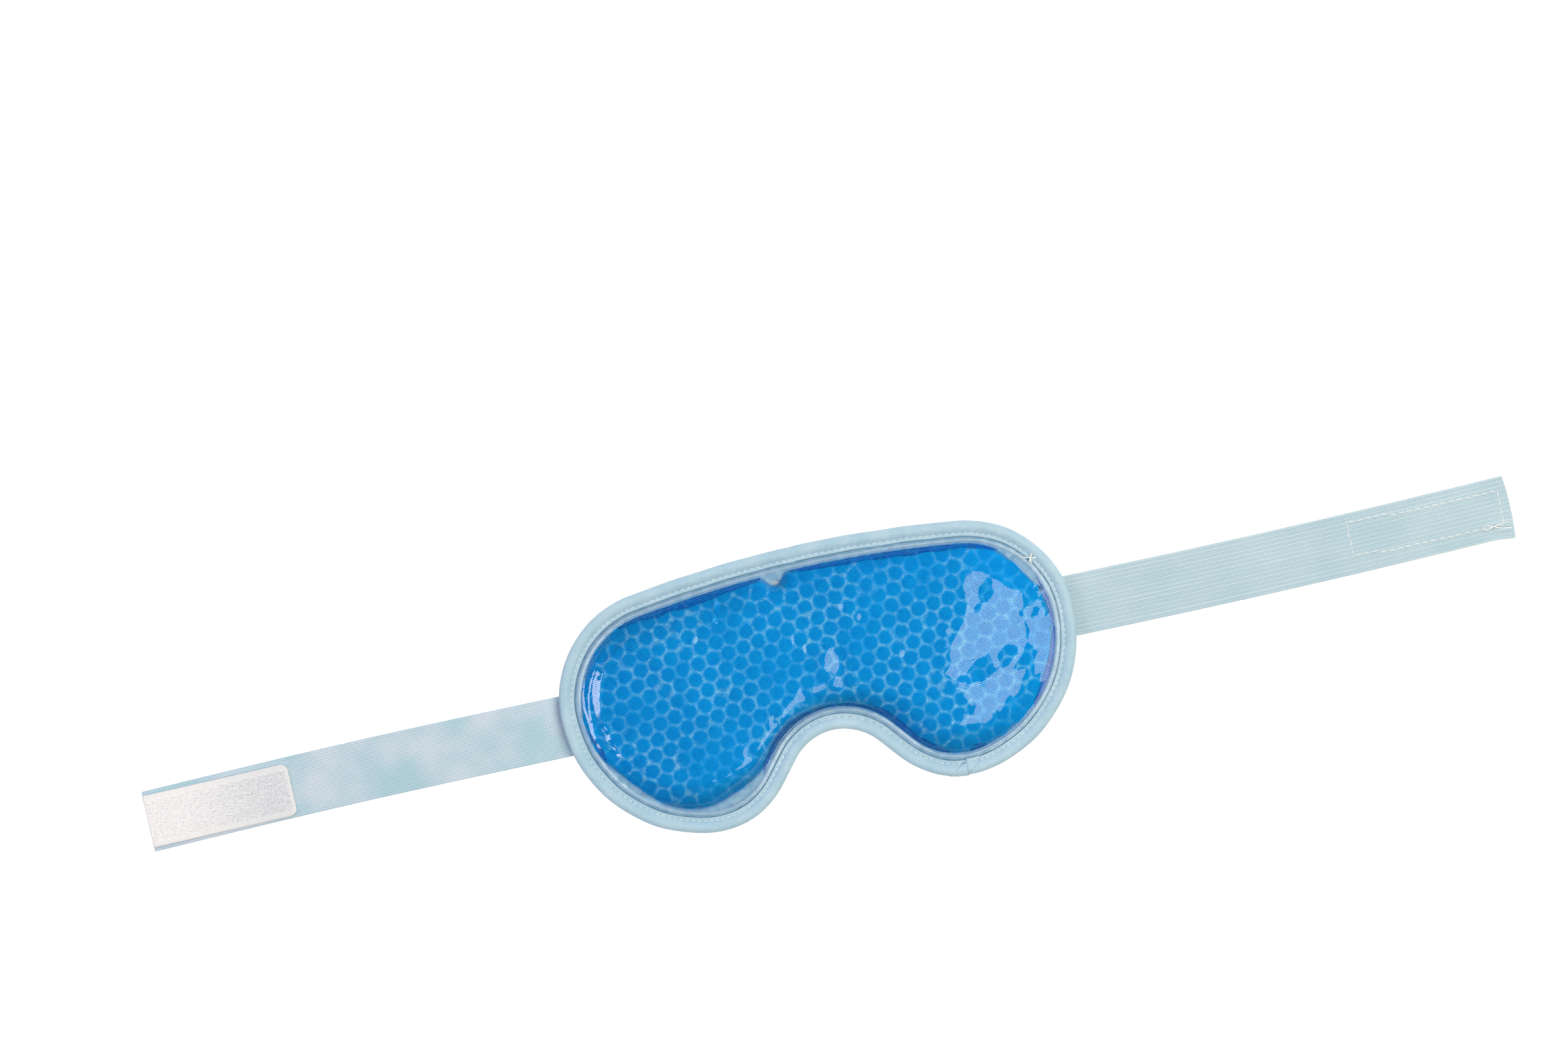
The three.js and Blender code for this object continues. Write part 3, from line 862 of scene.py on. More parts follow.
def front_film():
    """The clear front film: one sheet from under the binding over the flange and the gel, with its ribs."""

    def inside(x, y):
        return on_mask(x, y, FILM_EDGE_INSET)

    x, y, across, faces = turned_grid(0.6, FILM_RIB_PITCH / 4, RIB_ANGLE, inside)
    rib = FILM_RIB_HEIGHT * np.cos(2 * math.pi * across / FILM_RIB_PITCH)
    z = film_height(x, y) + rib * smoothstep((gel_depth(x, y) - 3) / 6)
    points = np.stack([x, y, z], -1)
    piece = make_piece("pouch_front_film_clear", points, faces, film_material())
    set_gel_values(piece, points)
    across_lobes(piece, "film", "pouch_front_film")


def back_film():
    """The pouch's back film, flat under the gel."""
    low, high = box_mm("pouch_back_film_right")
    x, y, faces = mask_grid(lambda x, y: inset_of(x, y) - BACK_FILM_EDGE_INSET, 2.5)
    points, faces = closed_layer(x, y, faces, x * 0 + low[2], x * 0 + high[2])
    piece = make_piece("pouch_back_film_sheet", points, faces, film_sheet_material())
    across_lobes(piece, "film", "pouch_back_film")


def knurl(points, inset, s, normals):
    """Lays the flange's upper points, whose height is 1, on the film's underside, with ridges across the
    weld, and its lower points flat. Its inner edge reaches in to where the gel starts."""
    sway = 0.16 * ripple(s, 0 * s, 11, 42)[:, None]
    further = np.zeros((len(s), 1))
    for _ in range(4):
        edge = points[:, -2, :2] - normals * further
        further = np.clip(further + FLANGE_LAP - gel_depth(*edge.T)[:, None], 0, None)
    stretch = smoothstep((inset[None] - STRETCH_FROM) / STRETCH_FADE) * further
    points[..., :2] -= normals[:, None, :] * (sway + stretch)[..., None]
    x, y = points[..., 0], points[..., 1]
    on_ridge = bump_at(np.broadcast_to(inset, x.shape), WELD_INSET, WELD_WIDTH)
    turn = 2 * math.pi * (s[:, None] + KNURL_SLANT * (inset - WELD_INSET)) / KNURL_PITCH
    deep = 0.15 + 0.85 * smoothstep((x - 8) / 20) * smoothstep((y - 8) / 20)
    sunk = 0.1 + 0.6 * smoothstep((gel_depth(x, y) + 0.4) / 0.6)
    top = film_base(x, y) - sunk + KNURL_HEIGHT * on_ridge * deep * np.cos(turn)
    points[..., 2] = np.where(points[..., 2] > 0.5, top, BINDING_HIGH[2] - FLANGE_DEPTH)
    return points


def weld_ring():
    """The knurled weld between the two films, and the cloudy flange from it to the gel's edge."""
    first, middle, last = FLANGE_INSETS
    inset = np.concatenate([np.arange(first, middle, 0.14), np.linspace(middle, last, 8)])
    profile = np.vstack([np.column_stack([inset, inset * 0 + 1]), [[inset[-1], 0], [inset[0], 0]]])
    points, faces = ring_sweep(profile, 0.28, knurl)
    piece = make_piece("film_weld_ridge", points, faces, weld_material())
    set_values(piece, "inset", inset_of(points[:, 0], points[:, 1]))
    set_values(piece, "depth", gel_depth(points[:, 0], points[:, 1]))
    across_lobes(piece, "film")


def bed_depth(x, y):
    """How far inside the liquid's edge each point is: it bulges round the outermost beads."""
    near = bead_distances(x, y)[:, 0] / (BEAD_PITCH / 2)
    return gel_depth(x, y) - 0.3 + 2.2 * np.clip(1 - near, -0.4, 0.3)


def gel_bed(material):
    """The liquid that the beads lie in."""
    x, y, faces = mask_grid(bed_depth, 0.55, math.radians(20))
    under = 0.3 + 0.05 * smoothstep(gel_depth(x, y) / 2.5)
    top = film_base(x, y) + np.minimum(facet_height(x, y), 0) - under
    top = np.maximum(top, GEL_LOW[2] + BEAD_FLOOR_GAP)
    points, faces = closed_layer(x, y, faces, x * 0 + GEL_LOW[2], top)
    piece = make_piece("gel_liquid", points, faces, material)
    set_gel_values(piece, points)
    across_lobes(piece, "gel", "gel_bead_fill")


def bead_mesh(index):
    """One bead: a ball pressed flat against each neighbour and against the film."""
    centre = BEADS[index]
    offset = BEADS - centre
    distance = np.linalg.norm(offset, axis=1)
    close = (distance > 0.1) & (distance < BEAD_PITCH * 1.5)
    around = np.linspace(0, 2 * math.pi, BEAD_SEGMENTS, endpoint=False)
    facing = np.cos(around[:, None] - np.arctan2(offset[close, 1], offset[close, 0])[None])
    no_wall = 1e3
    half_gap = 0.06
    least = 0.3
    wall = (distance[close][None] / 2 - half_gap) / np.maximum(facing, least)
    wall = np.where(facing > least, wall, no_wall)
    sharpness = 9
    reach = ((BEAD_PITCH * 0.5) ** -sharpness + (wall**-sharpness).sum(1)) ** (-1 / sharpness)
    levels = np.linspace(0, math.pi, BEAD_RINGS + 2)[1:-1]
    side_shape, top_shape = 0.28, 0.35
    out = np.sin(levels) ** side_shape
    height = np.sign(np.cos(levels)) * np.abs(np.cos(levels)) ** top_shape
    radial = out[:, None] * reach[None]
    x = centre[0] + radial * np.cos(around)
    y = centre[1] + radial * np.sin(around)
    roof = float(film_base(*centre)) - BEAD_UNDER_FILM
    tilt = film_base(x, y) - film_base(*centre)
    z = roof + tilt - BEAD_HALF_HEIGHT * (1 - height[:, None])
    rings = np.stack([x, y, z], -1).reshape(-1, 3)
    poles = [[*centre, roof], [*centre, roof - 2 * BEAD_HALF_HEIGHT]]
    return np.vstack([rings, poles])


def bead_faces():
    """A bead's quads, and the triangles that close it at top and bottom."""
    body = grid_faces(BEAD_RINGS, BEAD_SEGMENTS, wrap_columns=True)[:, ::-1]
    this = np.arange(BEAD_SEGMENTS)
    after = np.roll(this, -1)
    count = BEAD_RINGS * BEAD_SEGMENTS
    low = count - BEAD_SEGMENTS
    top = np.column_stack([this * 0 + count, this, after])
    bottom = np.column_stack([this * 0 + count + 1, low + after, low + this])
    return body, np.vstack([top, bottom])


def gel_beads(material):
    """All the beads, in one piece."""
    body, caps = bead_faces()
    beads = [bead_mesh(k) for k in range(len(BEADS))]
    quads = [body + k * len(bead) for k, bead in enumerate(beads)]
    triangles = [caps + k * len(bead) for k, bead in enumerate(beads)]
    points = np.vstack(beads)
    ceiling = film_height(points[:, 0], points[:, 1]) - 0.12
    points[:, 2] = np.clip(points[:, 2], GEL_LOW[2] + BEAD_FLOOR_GAP, ceiling)
    tips = np.vstack(triangles).tolist()
    piece = make_piece("gel_beads", points, np.vstack(quads), material, extra_faces=tips)
    set_gel_values(piece, points)
    across_lobes(piece, "gel")


# Where dark liquid shows along the gel's edge: the ends of each run, the line's width and its inset.
LIQUID_RUNS = [
    ((-80, 43), (-15, 49), 2.8, 9.3),
    ((-3, 49), (87, 38), 2.4, 9.3),
    ((107, 22), (104, -12), 1.2, 8.9),
    ((106, -6), (88, -42), 2.4, 8.6),
    ((62, -55), (53, -55), 2.0, 9.2),
    ((42, -53), (2, -34), 2.6, 9.2),
    ((4, -23), (-4, -26), 1.2, 9.2),
    ((-4, -26), (-25, -41), 2.4, 9.2),
    ((-98, -22), (-104, -6), 1.8, 9.3),
]


def outline_run(start, end, spacing=0.5):
    """The outline's points and normals between the points nearest to two places, the short way."""
    base, normals, _ = outline(spacing)
    first, last = (int(np.argmin(np.hypot(*(base - place).T))) for place in (start, end))
    count = len(base)
    ahead = (last - first) % count
    steps = np.arange(ahead + 1) if ahead <= count / 2 else -np.arange(count - ahead + 1)
    chosen = (first + steps) % count
    return base[chosen], normals[chosen]


def liquid_edge():
    """Runs of dark liquid along the edge of the gel: flat tubes that swell and taper."""
    parts = []
    sides = 8
    for seed, (start, end, width, inset) in enumerate(LIQUID_RUNS):
        base, normals = outline_run(start, end)
        count = len(base)
        taper = np.clip(np.sin(math.pi * np.linspace(0, 1, count)), 0, 1) ** 0.4
        half = width / 2 * taper * (1 + 0.25 * ripple(*base.T, 13, seed)) + 0.02
        middle = base - normals * (inset + half[:, None])
        points = []
        for angle in np.linspace(0, 2 * math.pi, sides, endpoint=False):
            xy = middle - normals * (half * math.cos(angle))[:, None]
            points.append(np.column_stack([xy, film_base(*xy.T) - 0.17 + 0.1 * math.sin(angle)]))
        points = np.stack(points, 1).reshape(-1, 3)
        faces = facing_out(points, grid_faces(count, sides, wrap_columns=True))
        parts.append((points, faces, end_caps(count, sides)))
    points, faces, caps = joined(parts)
    piece = make_piece("gel_edge_liquid", points, faces, edge_liquid_material(), extra_faces=caps)
    across_lobes(piece, "gel")


# ---- The binding ----

TAPE = 0.4
EDGE_ROUND = 0.9
UPPER_LIP = 6.3
LOWER_LIP = 4.6
BINDING_PUFF = 1.3
STITCH_PITCH = 2.7
FINE_SPACING = 0.3
OUTLINE_LENGTH = outline(FINE_SPACING)[2][-1]
STITCH_STEP = OUTLINE_LENGTH / round(OUTLINE_LENGTH / STITCH_PITCH)


def binding_profile(grow=0.0):
    """The tape's section as a closed loop: lower lip, rounded fold and puffed upper lip."""
    top, low = BINDING_HIGH[2] + grow, BINDING_LOW[2] - grow * 0.6
    middle = (top + low) / 2
    seam = FRONT_SEAM_INSET
    upper = []
    for inset in np.linspace(EDGE_ROUND, UPPER_LIP - 0.1 + grow, 24):
        puff = BINDING_PUFF * math.sin(math.pi * min(1, (inset + 0.6) / (seam + 0.6))) ** 0.9
        lip = 0.22 * math.sin(math.pi * min(1, max(0, inset - seam) / (UPPER_LIP - seam)))
        upper.append((inset, top - 0.08 + puff + lip))
    fold = []
    for angle in np.linspace(-90, 90, 15)[1:-1]:
        a = math.radians(angle)
        out = (EDGE_ROUND + 0.08 + grow) * math.cos(a)
        fold.append((EDGE_ROUND - out, middle + (top - low) / 2 * math.sin(a)))
    start_z = upper[0][1]
    fold = [(i, z + (start_z - top) * max(0, (z - middle) / (top - middle)) ** 3) for i, z in fold]
    under = []
    for inset in np.linspace(LOWER_LIP - 0.1 + grow, EDGE_ROUND, 12):
        under.append((inset, low - 0.3 * math.sin(math.pi * min(1, inset / BACK_SEAM_INSET))))
    inner_low, inner_top = low + TAPE, top - TAPE
    inside = [
        (UPPER_LIP + grow, top - 0.1),
        (UPPER_LIP + grow, inner_top + 0.08),
        (UPPER_LIP - 0.2, inner_top),
        (0.7, inner_top),
        (0.5, middle),
        (0.7, inner_low),
        (LOWER_LIP - 0.2, inner_low),
        (LOWER_LIP + grow, low + 0.2),
    ]
    return np.array(under + fold + upper + inside)


BINDING_MIDDLE = (BINDING_LOW[2] + BINDING_HIGH[2]) / 2
SEAM_DIP = 0.2


def seam_waver(s):
    """How far in the tape and its seams drift, at each distance along the outline."""
    return 0.12 * ripple(s, 0 * s, 16, 22)


def pucker(points, inset, s, normals):
    """Pulls the tape in along its seams, a little more at each stitch, and creases it."""
    upper = points[..., 2] > BINDING_MIDDLE
    wide = np.broadcast_to(inset, points.shape[:2])
    side = np.where(upper, FRONT_SEAM_INSET, BACK_SEAM_INSET)
    stitch = 0.5 + 0.5 * np.cos(2 * math.pi * s / STITCH_STEP)[:, None]
    dip = SEAM_DIP * bump_at(wide, side, 0.5) * (0.5 + 0.5 * stitch)
    crease = ripple(s[:, None] + 0 * wide, wide * 1.6, 3.6, 21) * bump_at(wide, 3.2, 2.6)
    swell = 0.12 * ripple(s, 0 * s, 22, 23)[:, None] * bump_at(wide, 2.2, 2.2)
    near_face = 0.15
    skin = (points[..., 2] > BINDING_HIGH[2] - near_face) | (points[..., 2] < BINDING_LOW[2] + near_face)
    points[..., 2] += np.where(upper, 1.0, -1.0) * (0.07 * crease + swell - dip) * skin
    waver = seam_waver(s)
    points[..., :2] -= normals[:, None, :] * waver[:, None, None]
    return points


def edge_binding():
    """The folded tape round the whole edge."""
    spacing = 0.45
    profile = binding_profile()
    points, faces = ring_sweep(profile, spacing, pucker)
    piece = make_piece("edge_binding_tape", points, faces, tape_material())
    _, _, s = outline(spacing)
    set_corner_values(piece, "along", np.repeat(s[:-1], len(profile)), s[-1])
    set_values(piece, "across", np.tile(profile[:, 0], len(s) - 1))
    across_lobes(piece, "binding", "edge_binding")


def binding_join():
    """Where the tape's end is folded over its start, cut on the slant."""
    middle = (49.5, -53.0)
    spacing = 0.4
    base, normals = outline_run((56, -53), (41, -50), spacing)
    profile = binding_profile(grow=0.34)
    reach = np.linalg.norm(base - middle, axis=1) * np.sign(base[:, 0] - middle[0])
    half, slant, slant_from = 4.6, 0.9, 3
    points = []
    for inset, z in profile:
        slanted = reach - slant * (inset - slant_from)
        kept = np.interp(np.linspace(-half, half, 24), np.sort(slanted), np.argsort(slanted))
        k = np.clip(kept, 0, len(base) - 1)
        low, part = np.floor(k).astype(int), (k % 1)[:, None]
        high = np.minimum(low + 1, len(base) - 1)
        at = base[low] * (1 - part) + base[high] * part
        out = normals[low] * (1 - part) + normals[high] * part
        flat = at - out * inset
        points.append(np.column_stack([flat, np.full(len(flat), z)]))
    points = np.stack(points, 1)
    rows, columns = points.shape[:2]
    points = points.reshape(-1, 3)
    faces = facing_out(points, grid_faces(rows, columns, wrap_columns=True))
    caps = end_caps(rows, columns)
    piece = make_piece("binding_join_fold", points, faces, tape_material(), extra_faces=caps)
    set_values(piece, "along", np.repeat(np.arange(rows) * spacing, columns))
    set_values(piece, "across", np.tile(profile[:, 0], rows))
    rides(piece, "right_lobe", "binding")


def stitch_template(length, radius, sink):
    """One stitch along X: a short thread that dives into the cloth at both ends."""
    rings, sides = 7, 6
    t = np.linspace(-1, 1, rings)
    around = np.linspace(0, 2 * math.pi, sides, endpoint=False)
    thin = radius * (1 - 0.35 * t**4)
    x = np.repeat(t * length / 2, sides)
    y = (thin[:, None] * np.cos(around)).ravel()
    z = (thin[:, None] * np.sin(around)).ravel() - sink * np.repeat(np.abs(t) ** 3, sides)
    points = np.column_stack([x, y, z])
    faces = facing_out(points, grid_faces(rings, sides, wrap_columns=True))
    return points, faces, turned(end_caps(rings, sides))


def binding_seam(name, node, inset, z, up, material):
    """One face's row of stitches round the whole binding."""
    template = stitch_template(1.4, 0.12, 0.25)
    piece = copied_piece(name, template, seam_frames(inset, z, up), material)
    across_lobes(piece, "thread", node)


def seam_frames(inset, z, up):
    """Where each stitch of the binding's seam lies, on the side that up points to."""
    base, normals, s = outline(FINE_SPACING)
    count = round(s[-1] / STITCH_PITCH)
    frames = []
    for place in (np.arange(count) + 0.5) * s[-1] / count:
        k = min(np.searchsorted(s, place), len(base) - 1)
        normal = np.array([*normals[k], 0])
        along = np.cross(UP, normal)
        here = s[k : k + 1]
        sunk = 0.05 * ripple(here, 0, 7, 24)[0] + 0.03
        origin = np.array([*(base[k] - normals[k] * (inset + seam_waver(here)[0])), z]) - sunk * up
        frames.append((origin, along, np.cross(up, along), up))
    return frames


def line_frames(start, end, pitch, z, up, wobble, seed):
    """Where each stitch of a straight run lies."""
    start, end = np.array([*start, z], float), np.array([*end, z], float)
    length = np.linalg.norm(end - start)
    along = (end - start) / length
    side = np.cross(up, along)
    count = max(1, round(length / pitch))
    rng = np.random.default_rng(seed)
    frames = []
    for k in range(count):
        origin = start + along * (k + 0.5) * length / count + side * rng.uniform(-wobble, wobble)
        frames.append((origin, along, side, up))
    return frames


def thread_tack(name, node, routes, radius, material):
    """A few crossed threads on the right lobe."""
    parts = [tube(smooth_route(route, 6 * len(route)), radius, 7) for route in routes]
    points, faces, caps = joined(parts)
    piece = make_piece(name, points, faces, material, extra_faces=caps)
    rides(piece, "right_lobe", "thread", node)


def middle_of(node):
    low, high = box_mm(node)
    return (low + high) / 2


def arched(start, end, z, lift, bend=0.0):
    """A thread's route from one hole to another: down at both ends and raised between."""
    start, end = np.array(start, float), np.array(end, float)
    side = np.array([start[1] - end[1], end[0] - start[0]])
    heights = ((0, -0.5), (0.12, 0.4), (0.5, 1.0), (0.88, 0.4), (1, -0.5))
    return [
        (*(start + (end - start) * t + side * bend * t * (1 - t)), z + lift * height)
        for t, height in heights
    ]


def hand_tacks(white, pale):
    """The crossed stitches near the right end, and those that hold the tape's join."""
    x, y, z = middle_of("cross_stitch")
    top = BINDING_HIGH[2] + 0.25
    routes = [
        arched((x - 3.0, y + 0.9), (x + 2.6, y - 0.6), top + 0.3, 0.45, 0.08),
        arched((x - 0.9, y - 1.9), (x + 1.1, y + 1.7), top + 0.5, 0.5, -0.1),
        arched((x + 0.2, y - 2.0), (x + 0.5, y + 1.2), top + 0.4, 0.4, 0.15),
    ]
    thread_tack("cross_stitch_threads", "cross_stitch", routes, 0.22, white)
    x, y, _ = middle_of("binding_join_tack")
    routes = []
    strokes, pitch = 9, 0.72
    for k in range(strokes):
        shift = (k - strokes // 2) * pitch
        start, end = (x + shift, y - 1.3 + 0.1 * k), (x + shift + 0.9, y + 1.5 + 0.06 * k)
        routes.append(arched(start, end, BINDING_HIGH[2] + 0.85, 0.4, 0.1 * (-1) ** k))
    thread_tack("binding_join_threads", "binding_join_tack", routes, 0.13, pale)


# ---- Plush backing ----

SHEET_INSET = 1
PILE_LENGTH = 2.6
PILE_SPACING = 0.92
PILE_JITTER = 0.45
PILE_DROP = 0.52
PILE_SIDES = 3


def plush_under(x, y):
    """The height of the fleece's underside: flat in the middle, and rising to the binding."""
    inset = inset_of(x, y)
    rise = 1 - smoothstep((inset - 4) / 10)
    return PLUSH_LOW[2] + 0.75 + rise * (BINDING_LOW[2] - 0.35) + 0.12 * ripple(x, y, 14, 51)


def plush_backing():
    """The fleece that lies on the face: its cloth, and its pile in swirling tufts."""
    x, y, faces = mask_grid(lambda x, y: inset_of(x, y) - SHEET_INSET, 1.5)
    inset = inset_of(x, y)
    tucked = 1 - smoothstep((inset - 3.2) / 1.4)
    low = plush_under(x, y) + tucked * 0.3
    low = np.minimum(np.maximum(low, tucked * (BINDING_LOW[2] + 0.5)), PLUSH_HIGH[2] - 0.3)
    points, faces = closed_layer(x, y, faces, low, x * 0 + PLUSH_HIGH[2])
    cloth = make_piece("plush_backing_fleece", points, faces, plush_material())
    # tip 0 gives the cloth under the pile the painted shade of the pile's roots.
    set_values(cloth, "tip", np.zeros(len(points)))
    set_values(cloth, "brushed", np.tile(brushed(x, y), 2))
    across_lobes(cloth, "plush", "plush_backing")
    pile = plush_pile()
    base, _, _ = outline(1.0)


def brushed(x, y):
    """How much the pile is brushed the other way, from 0 to 1, in a few soft patches. The fleece's material
    paints shade where it is high.
    """
    edge = smoothstep((inset_of(x, y) - 4) / 9)
    return np.clip(0.5 + 0.55 * ripple(x, y, 46, 52) + 0.25 * ripple(x, y, 12, 53) - 0.35 * edge, 0, 1)


def plush_pile():
    """Tufts of pile: thin curved spikes that lean and swirl."""
    rng = np.random.default_rng(17)
    u, v = np.meshgrid(np.arange(-106, 106, PILE_SPACING), np.arange(-58, 52, PILE_SPACING))
    x = u.ravel() + rng.uniform(-PILE_JITTER, PILE_JITTER, u.size)
    y = v.ravel() + rng.uniform(-PILE_JITTER, PILE_JITTER, u.size)
    kept = on_mask(x, y, LOWER_LIP + 0.1)
    x, y = x[kept], y[kept]
    count = len(x)
    swirl = 2.2 * ripple(x, y, 34, 54) + 0.8 * ripple(x, y, 8, 55) + rng.normal(0, 0.35, count)
    lean = np.column_stack([np.cos(swirl - 1.2), np.sin(swirl - 1.2), np.zeros(count)])
    across = np.column_stack([-lean[:, 1], lean[:, 0], np.zeros(count)])
    root = np.column_stack([x, y, plush_under(x, y) + 0.15])
    length = PILE_LENGTH * rng.uniform(0.75, 1.15, count)[:, None]
    width = rng.uniform(0.32, 0.5, count)[:, None]
    down = -UP
    drop = PILE_DROP * rng.uniform(0.8, 1.2, count)[:, None]
    bend = root + lean * length * 0.45 + down * drop * 0.9
    tip = root + lean * length + down * drop * 1.35 + across * rng.normal(0, 0.18, (count, 1))
    points = []
    for centre, size in ((root, width), (bend, width * 0.85)):
        for corner in range(PILE_SIDES):
            angle = 2 * math.pi * corner / PILE_SIDES + math.pi / 2
            points.append(centre + across * size * math.cos(angle) + down * size * 0.45 * math.sin(angle))
    points.append(tip)
    per_tuft = len(points)
    points = np.stack(points, 1).reshape(-1, 3)
    sides = [[0, 1, 4, 3], [1, 2, 5, 4], [2, 0, 3, 5]]
    ends = [[0, 2, 1], [3, 4, 6], [4, 5, 6], [5, 3, 6]]
    offset = np.arange(count)[:, None, None] * per_tuft
    quads = (np.array(sides) + offset).reshape(-1, 4)
    triangles = (np.array(ends) + offset).reshape(-1, 3).tolist()
    pile = make_piece("plush_pile", points, quads, plush_material(), extra_faces=triangles)
    # tip sets the painted shade along each tuft: darkest at its root.
    set_values(pile, "tip", np.tile([0, 0, 0, 0.6, 0.6, 0.6, 1], count))
    set_values(pile, "brushed", np.repeat(brushed(x, y), per_tuft))
    across_lobes(pile, "plush")
    return pile


# ---- Straps ----

RIB_PITCH = 0.8
KNIT_PITCH = 0.62
CORD_PITCH = 1.72
WEBBING_RIB = 0.09
WEBBING_HALF_THICKNESS = 0.32
STRAP_MIDDLE_LIFT = 0.45
STRAP_STATION_PITCH = 1.1
STRAP_END_SUPPORT = 0.03
END_SHAPE_LENGTH = 12
END_FLARE = 0.07
END_CURVE = -0.0045
STRAP_SPLIT = 22
STRAP_LAP = 0.6
STRAP_TUCK = 0.08
STRETCH_CLEAR = 4
BEND_BEFORE_FOLD = 2.2
BEND_PAST_FOLD = 14
PATCH_ON_STRAP = {"left": "hook_patch", "right": "loop_patch"}


def reach_of(node):
    """How far out from the middle of the mask a node starts and ends."""
    low, high = box_mm(node)
    return sorted((abs(low[0]), abs(high[0])))


def strap_section(width):
    """Points across the strap, as (across, height above the middle): ribs on both faces, rounded sides."""
    half = width / 2
    across = np.linspace(-half + 0.3, half - 0.3, 150)
    face = WEBBING_HALF_THICKNESS + WEBBING_RIB * np.abs(np.sin(math.pi * across / RIB_PITCH))
    upper = list(zip(across, face))
    lower = list(zip(across[::-1], -face[::-1]))
    right = [(half - 0.08, 0.2), (half, 0), (half - 0.08, -0.2)]
    left = [(-half + 0.08, -0.2), (-half, 0), (-half + 0.08, 0.2)]
    return np.array(upper + right + lower + left)


def strap_lie(name, side, reach, patch_lift):
    """How far the strap's middle is moved across, and its height, at each distance out."""
    low, _ = box_mm(f"{name}_strap_webbing")
    rest = low[2] + STRAP_MIDDLE_LIFT
    _, tip = reach_of(f"{name}_strap_webbing")
    patch_inner, _ = reach_of(PATCH_ON_STRAP[name])
    settle = 1 - smoothstep((reach - (patch_inner - 25)) / 20)
    lie = 0.35 * (1 + np.sin(reach / 17 + side)) * smoothstep((reach - 112) / 20)
    lift = patch_lift * smoothstep((reach - (patch_inner - 14)) / 10)
    edge_of_mask, bow_depth = 106, 0.9
    bow = -side * bow_depth * np.sin((reach - edge_of_mask) / (tip - edge_of_mask) * math.pi)
    return bow, rest + lie * settle + lift


def strap_piece(part, name, side, start, end, patch_lift, material, tucked):
    """A closed length of strap between two distances out from the middle of the mask.

    A tucked length ends just inside the next one, so no gap shows between them."""
    shaped_end = side > 0 and not tucked
    low, high = box_mm(f"{name}_strap_webbing")
    section = strap_section(high[1] - low[1])
    centre_y = (low[1] + high[1]) / 2
    stations = np.linspace(start, end, max(3, round((end - start) / STRAP_STATION_PITCH)))
    stations = np.sort(np.append(stations, (start + STRAP_END_SUPPORT, end - STRAP_END_SUPPORT)))
    bow, z = strap_lie(name, side, stations, patch_lift)
    points = []
    for k, reach in enumerate(stations):
        near_end = smoothstep((reach - (end - END_SHAPE_LENGTH)) / END_SHAPE_LENGTH) * shaped_end
        flare = 1 + END_FLARE * near_end**2 * (section[:, 0] < 0)
        curve = END_CURVE * near_end * section[:, 0] ** 2
        x = side * (reach + curve)
        y = centre_y + bow[k] + section[:, 0] * flare
        inside = STRAP_TUCK if tucked and k > len(stations) - 3 else 0
        points.append(np.column_stack([x, y, z[k] + section[:, 1] * (1 - inside)]))
    rows, columns = len(stations), len(section)
    points = np.vstack(points)
    raw = grid_faces(rows, columns, wrap_columns=True)
    faces = facing_out(points, raw)
    caps = end_caps(rows, columns)
    if faces[0, 0] == raw[0, 0]:
        caps = turned(caps)
    full_name = f"{name}_strap_{part}"
    piece = make_piece(full_name, points, faces, material, extra_faces=caps, sharp_caps=True)
    set_values(piece, "knit", np.tile(section[:, 1] * -side > 0, rows))
    set_values(piece, "across", np.tile(section[:, 0], rows))
    return piece


def build_strap(name, side, patch_lift, material):
    """The strap in two pieces: the sewn end and root, and the rest."""
    _, tip = reach_of(f"{name}_strap_webbing")
    inner, _ = reach_of(f"{name}_strap_sewn_end")
    patch_inner, _ = reach_of(PATCH_ON_STRAP[name])
    hinge_x = abs(joint_x(f"{name}_strap_fold"))
    split = hinge_x + STRAP_SPLIT

    def at(reach):
        return (side * reach * MM, 0, 0)

    root = strap_piece("root", name, side, inner, split + STRAP_LAP, patch_lift, material, True)
    start, end = at(hinge_x - BEND_BEFORE_FOLD), at(hinge_x + BEND_PAST_FOLD)
    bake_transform(root)
    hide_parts(f"{name}_strap_sewn_end")
    free = strap_piece("elastic", name, side, split, tip, patch_lift, material, False)
    stretch_end = at(patch_inner - STRETCH_CLEAR)
    at(split + 1)
    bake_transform(free)
    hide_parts(f"{name}_strap_webbing")
    (split - inner) * MM
    (tip - split) * MM


def strap_tacks(material):
    """The run of stitches that holds each strap to the binding, seen on the plush side."""
    for name in ("left", "right"):
        low, high = box_mm(f"{name}_strap_tack")
        x = (low[0] + high[0]) / 2
        frames = line_frames((x, low[1]), (x, high[1]), 2.2, low[2] + 0.32, -UP, 0.15, 61)
        template = stitch_template(1.6, 0.15, 0.25)
        piece = copied_piece(f"{name}_strap_stitches", template, frames, material)
        rides(piece, f"{name}_lobe", "thread", f"{name}_strap_tack")


# ---- Patches ----

SELVAGE = 2.2
SELVAGE_PITCH = 0.85
PATCH_CORNER = 3
SQUARE_CORNER = 0.5


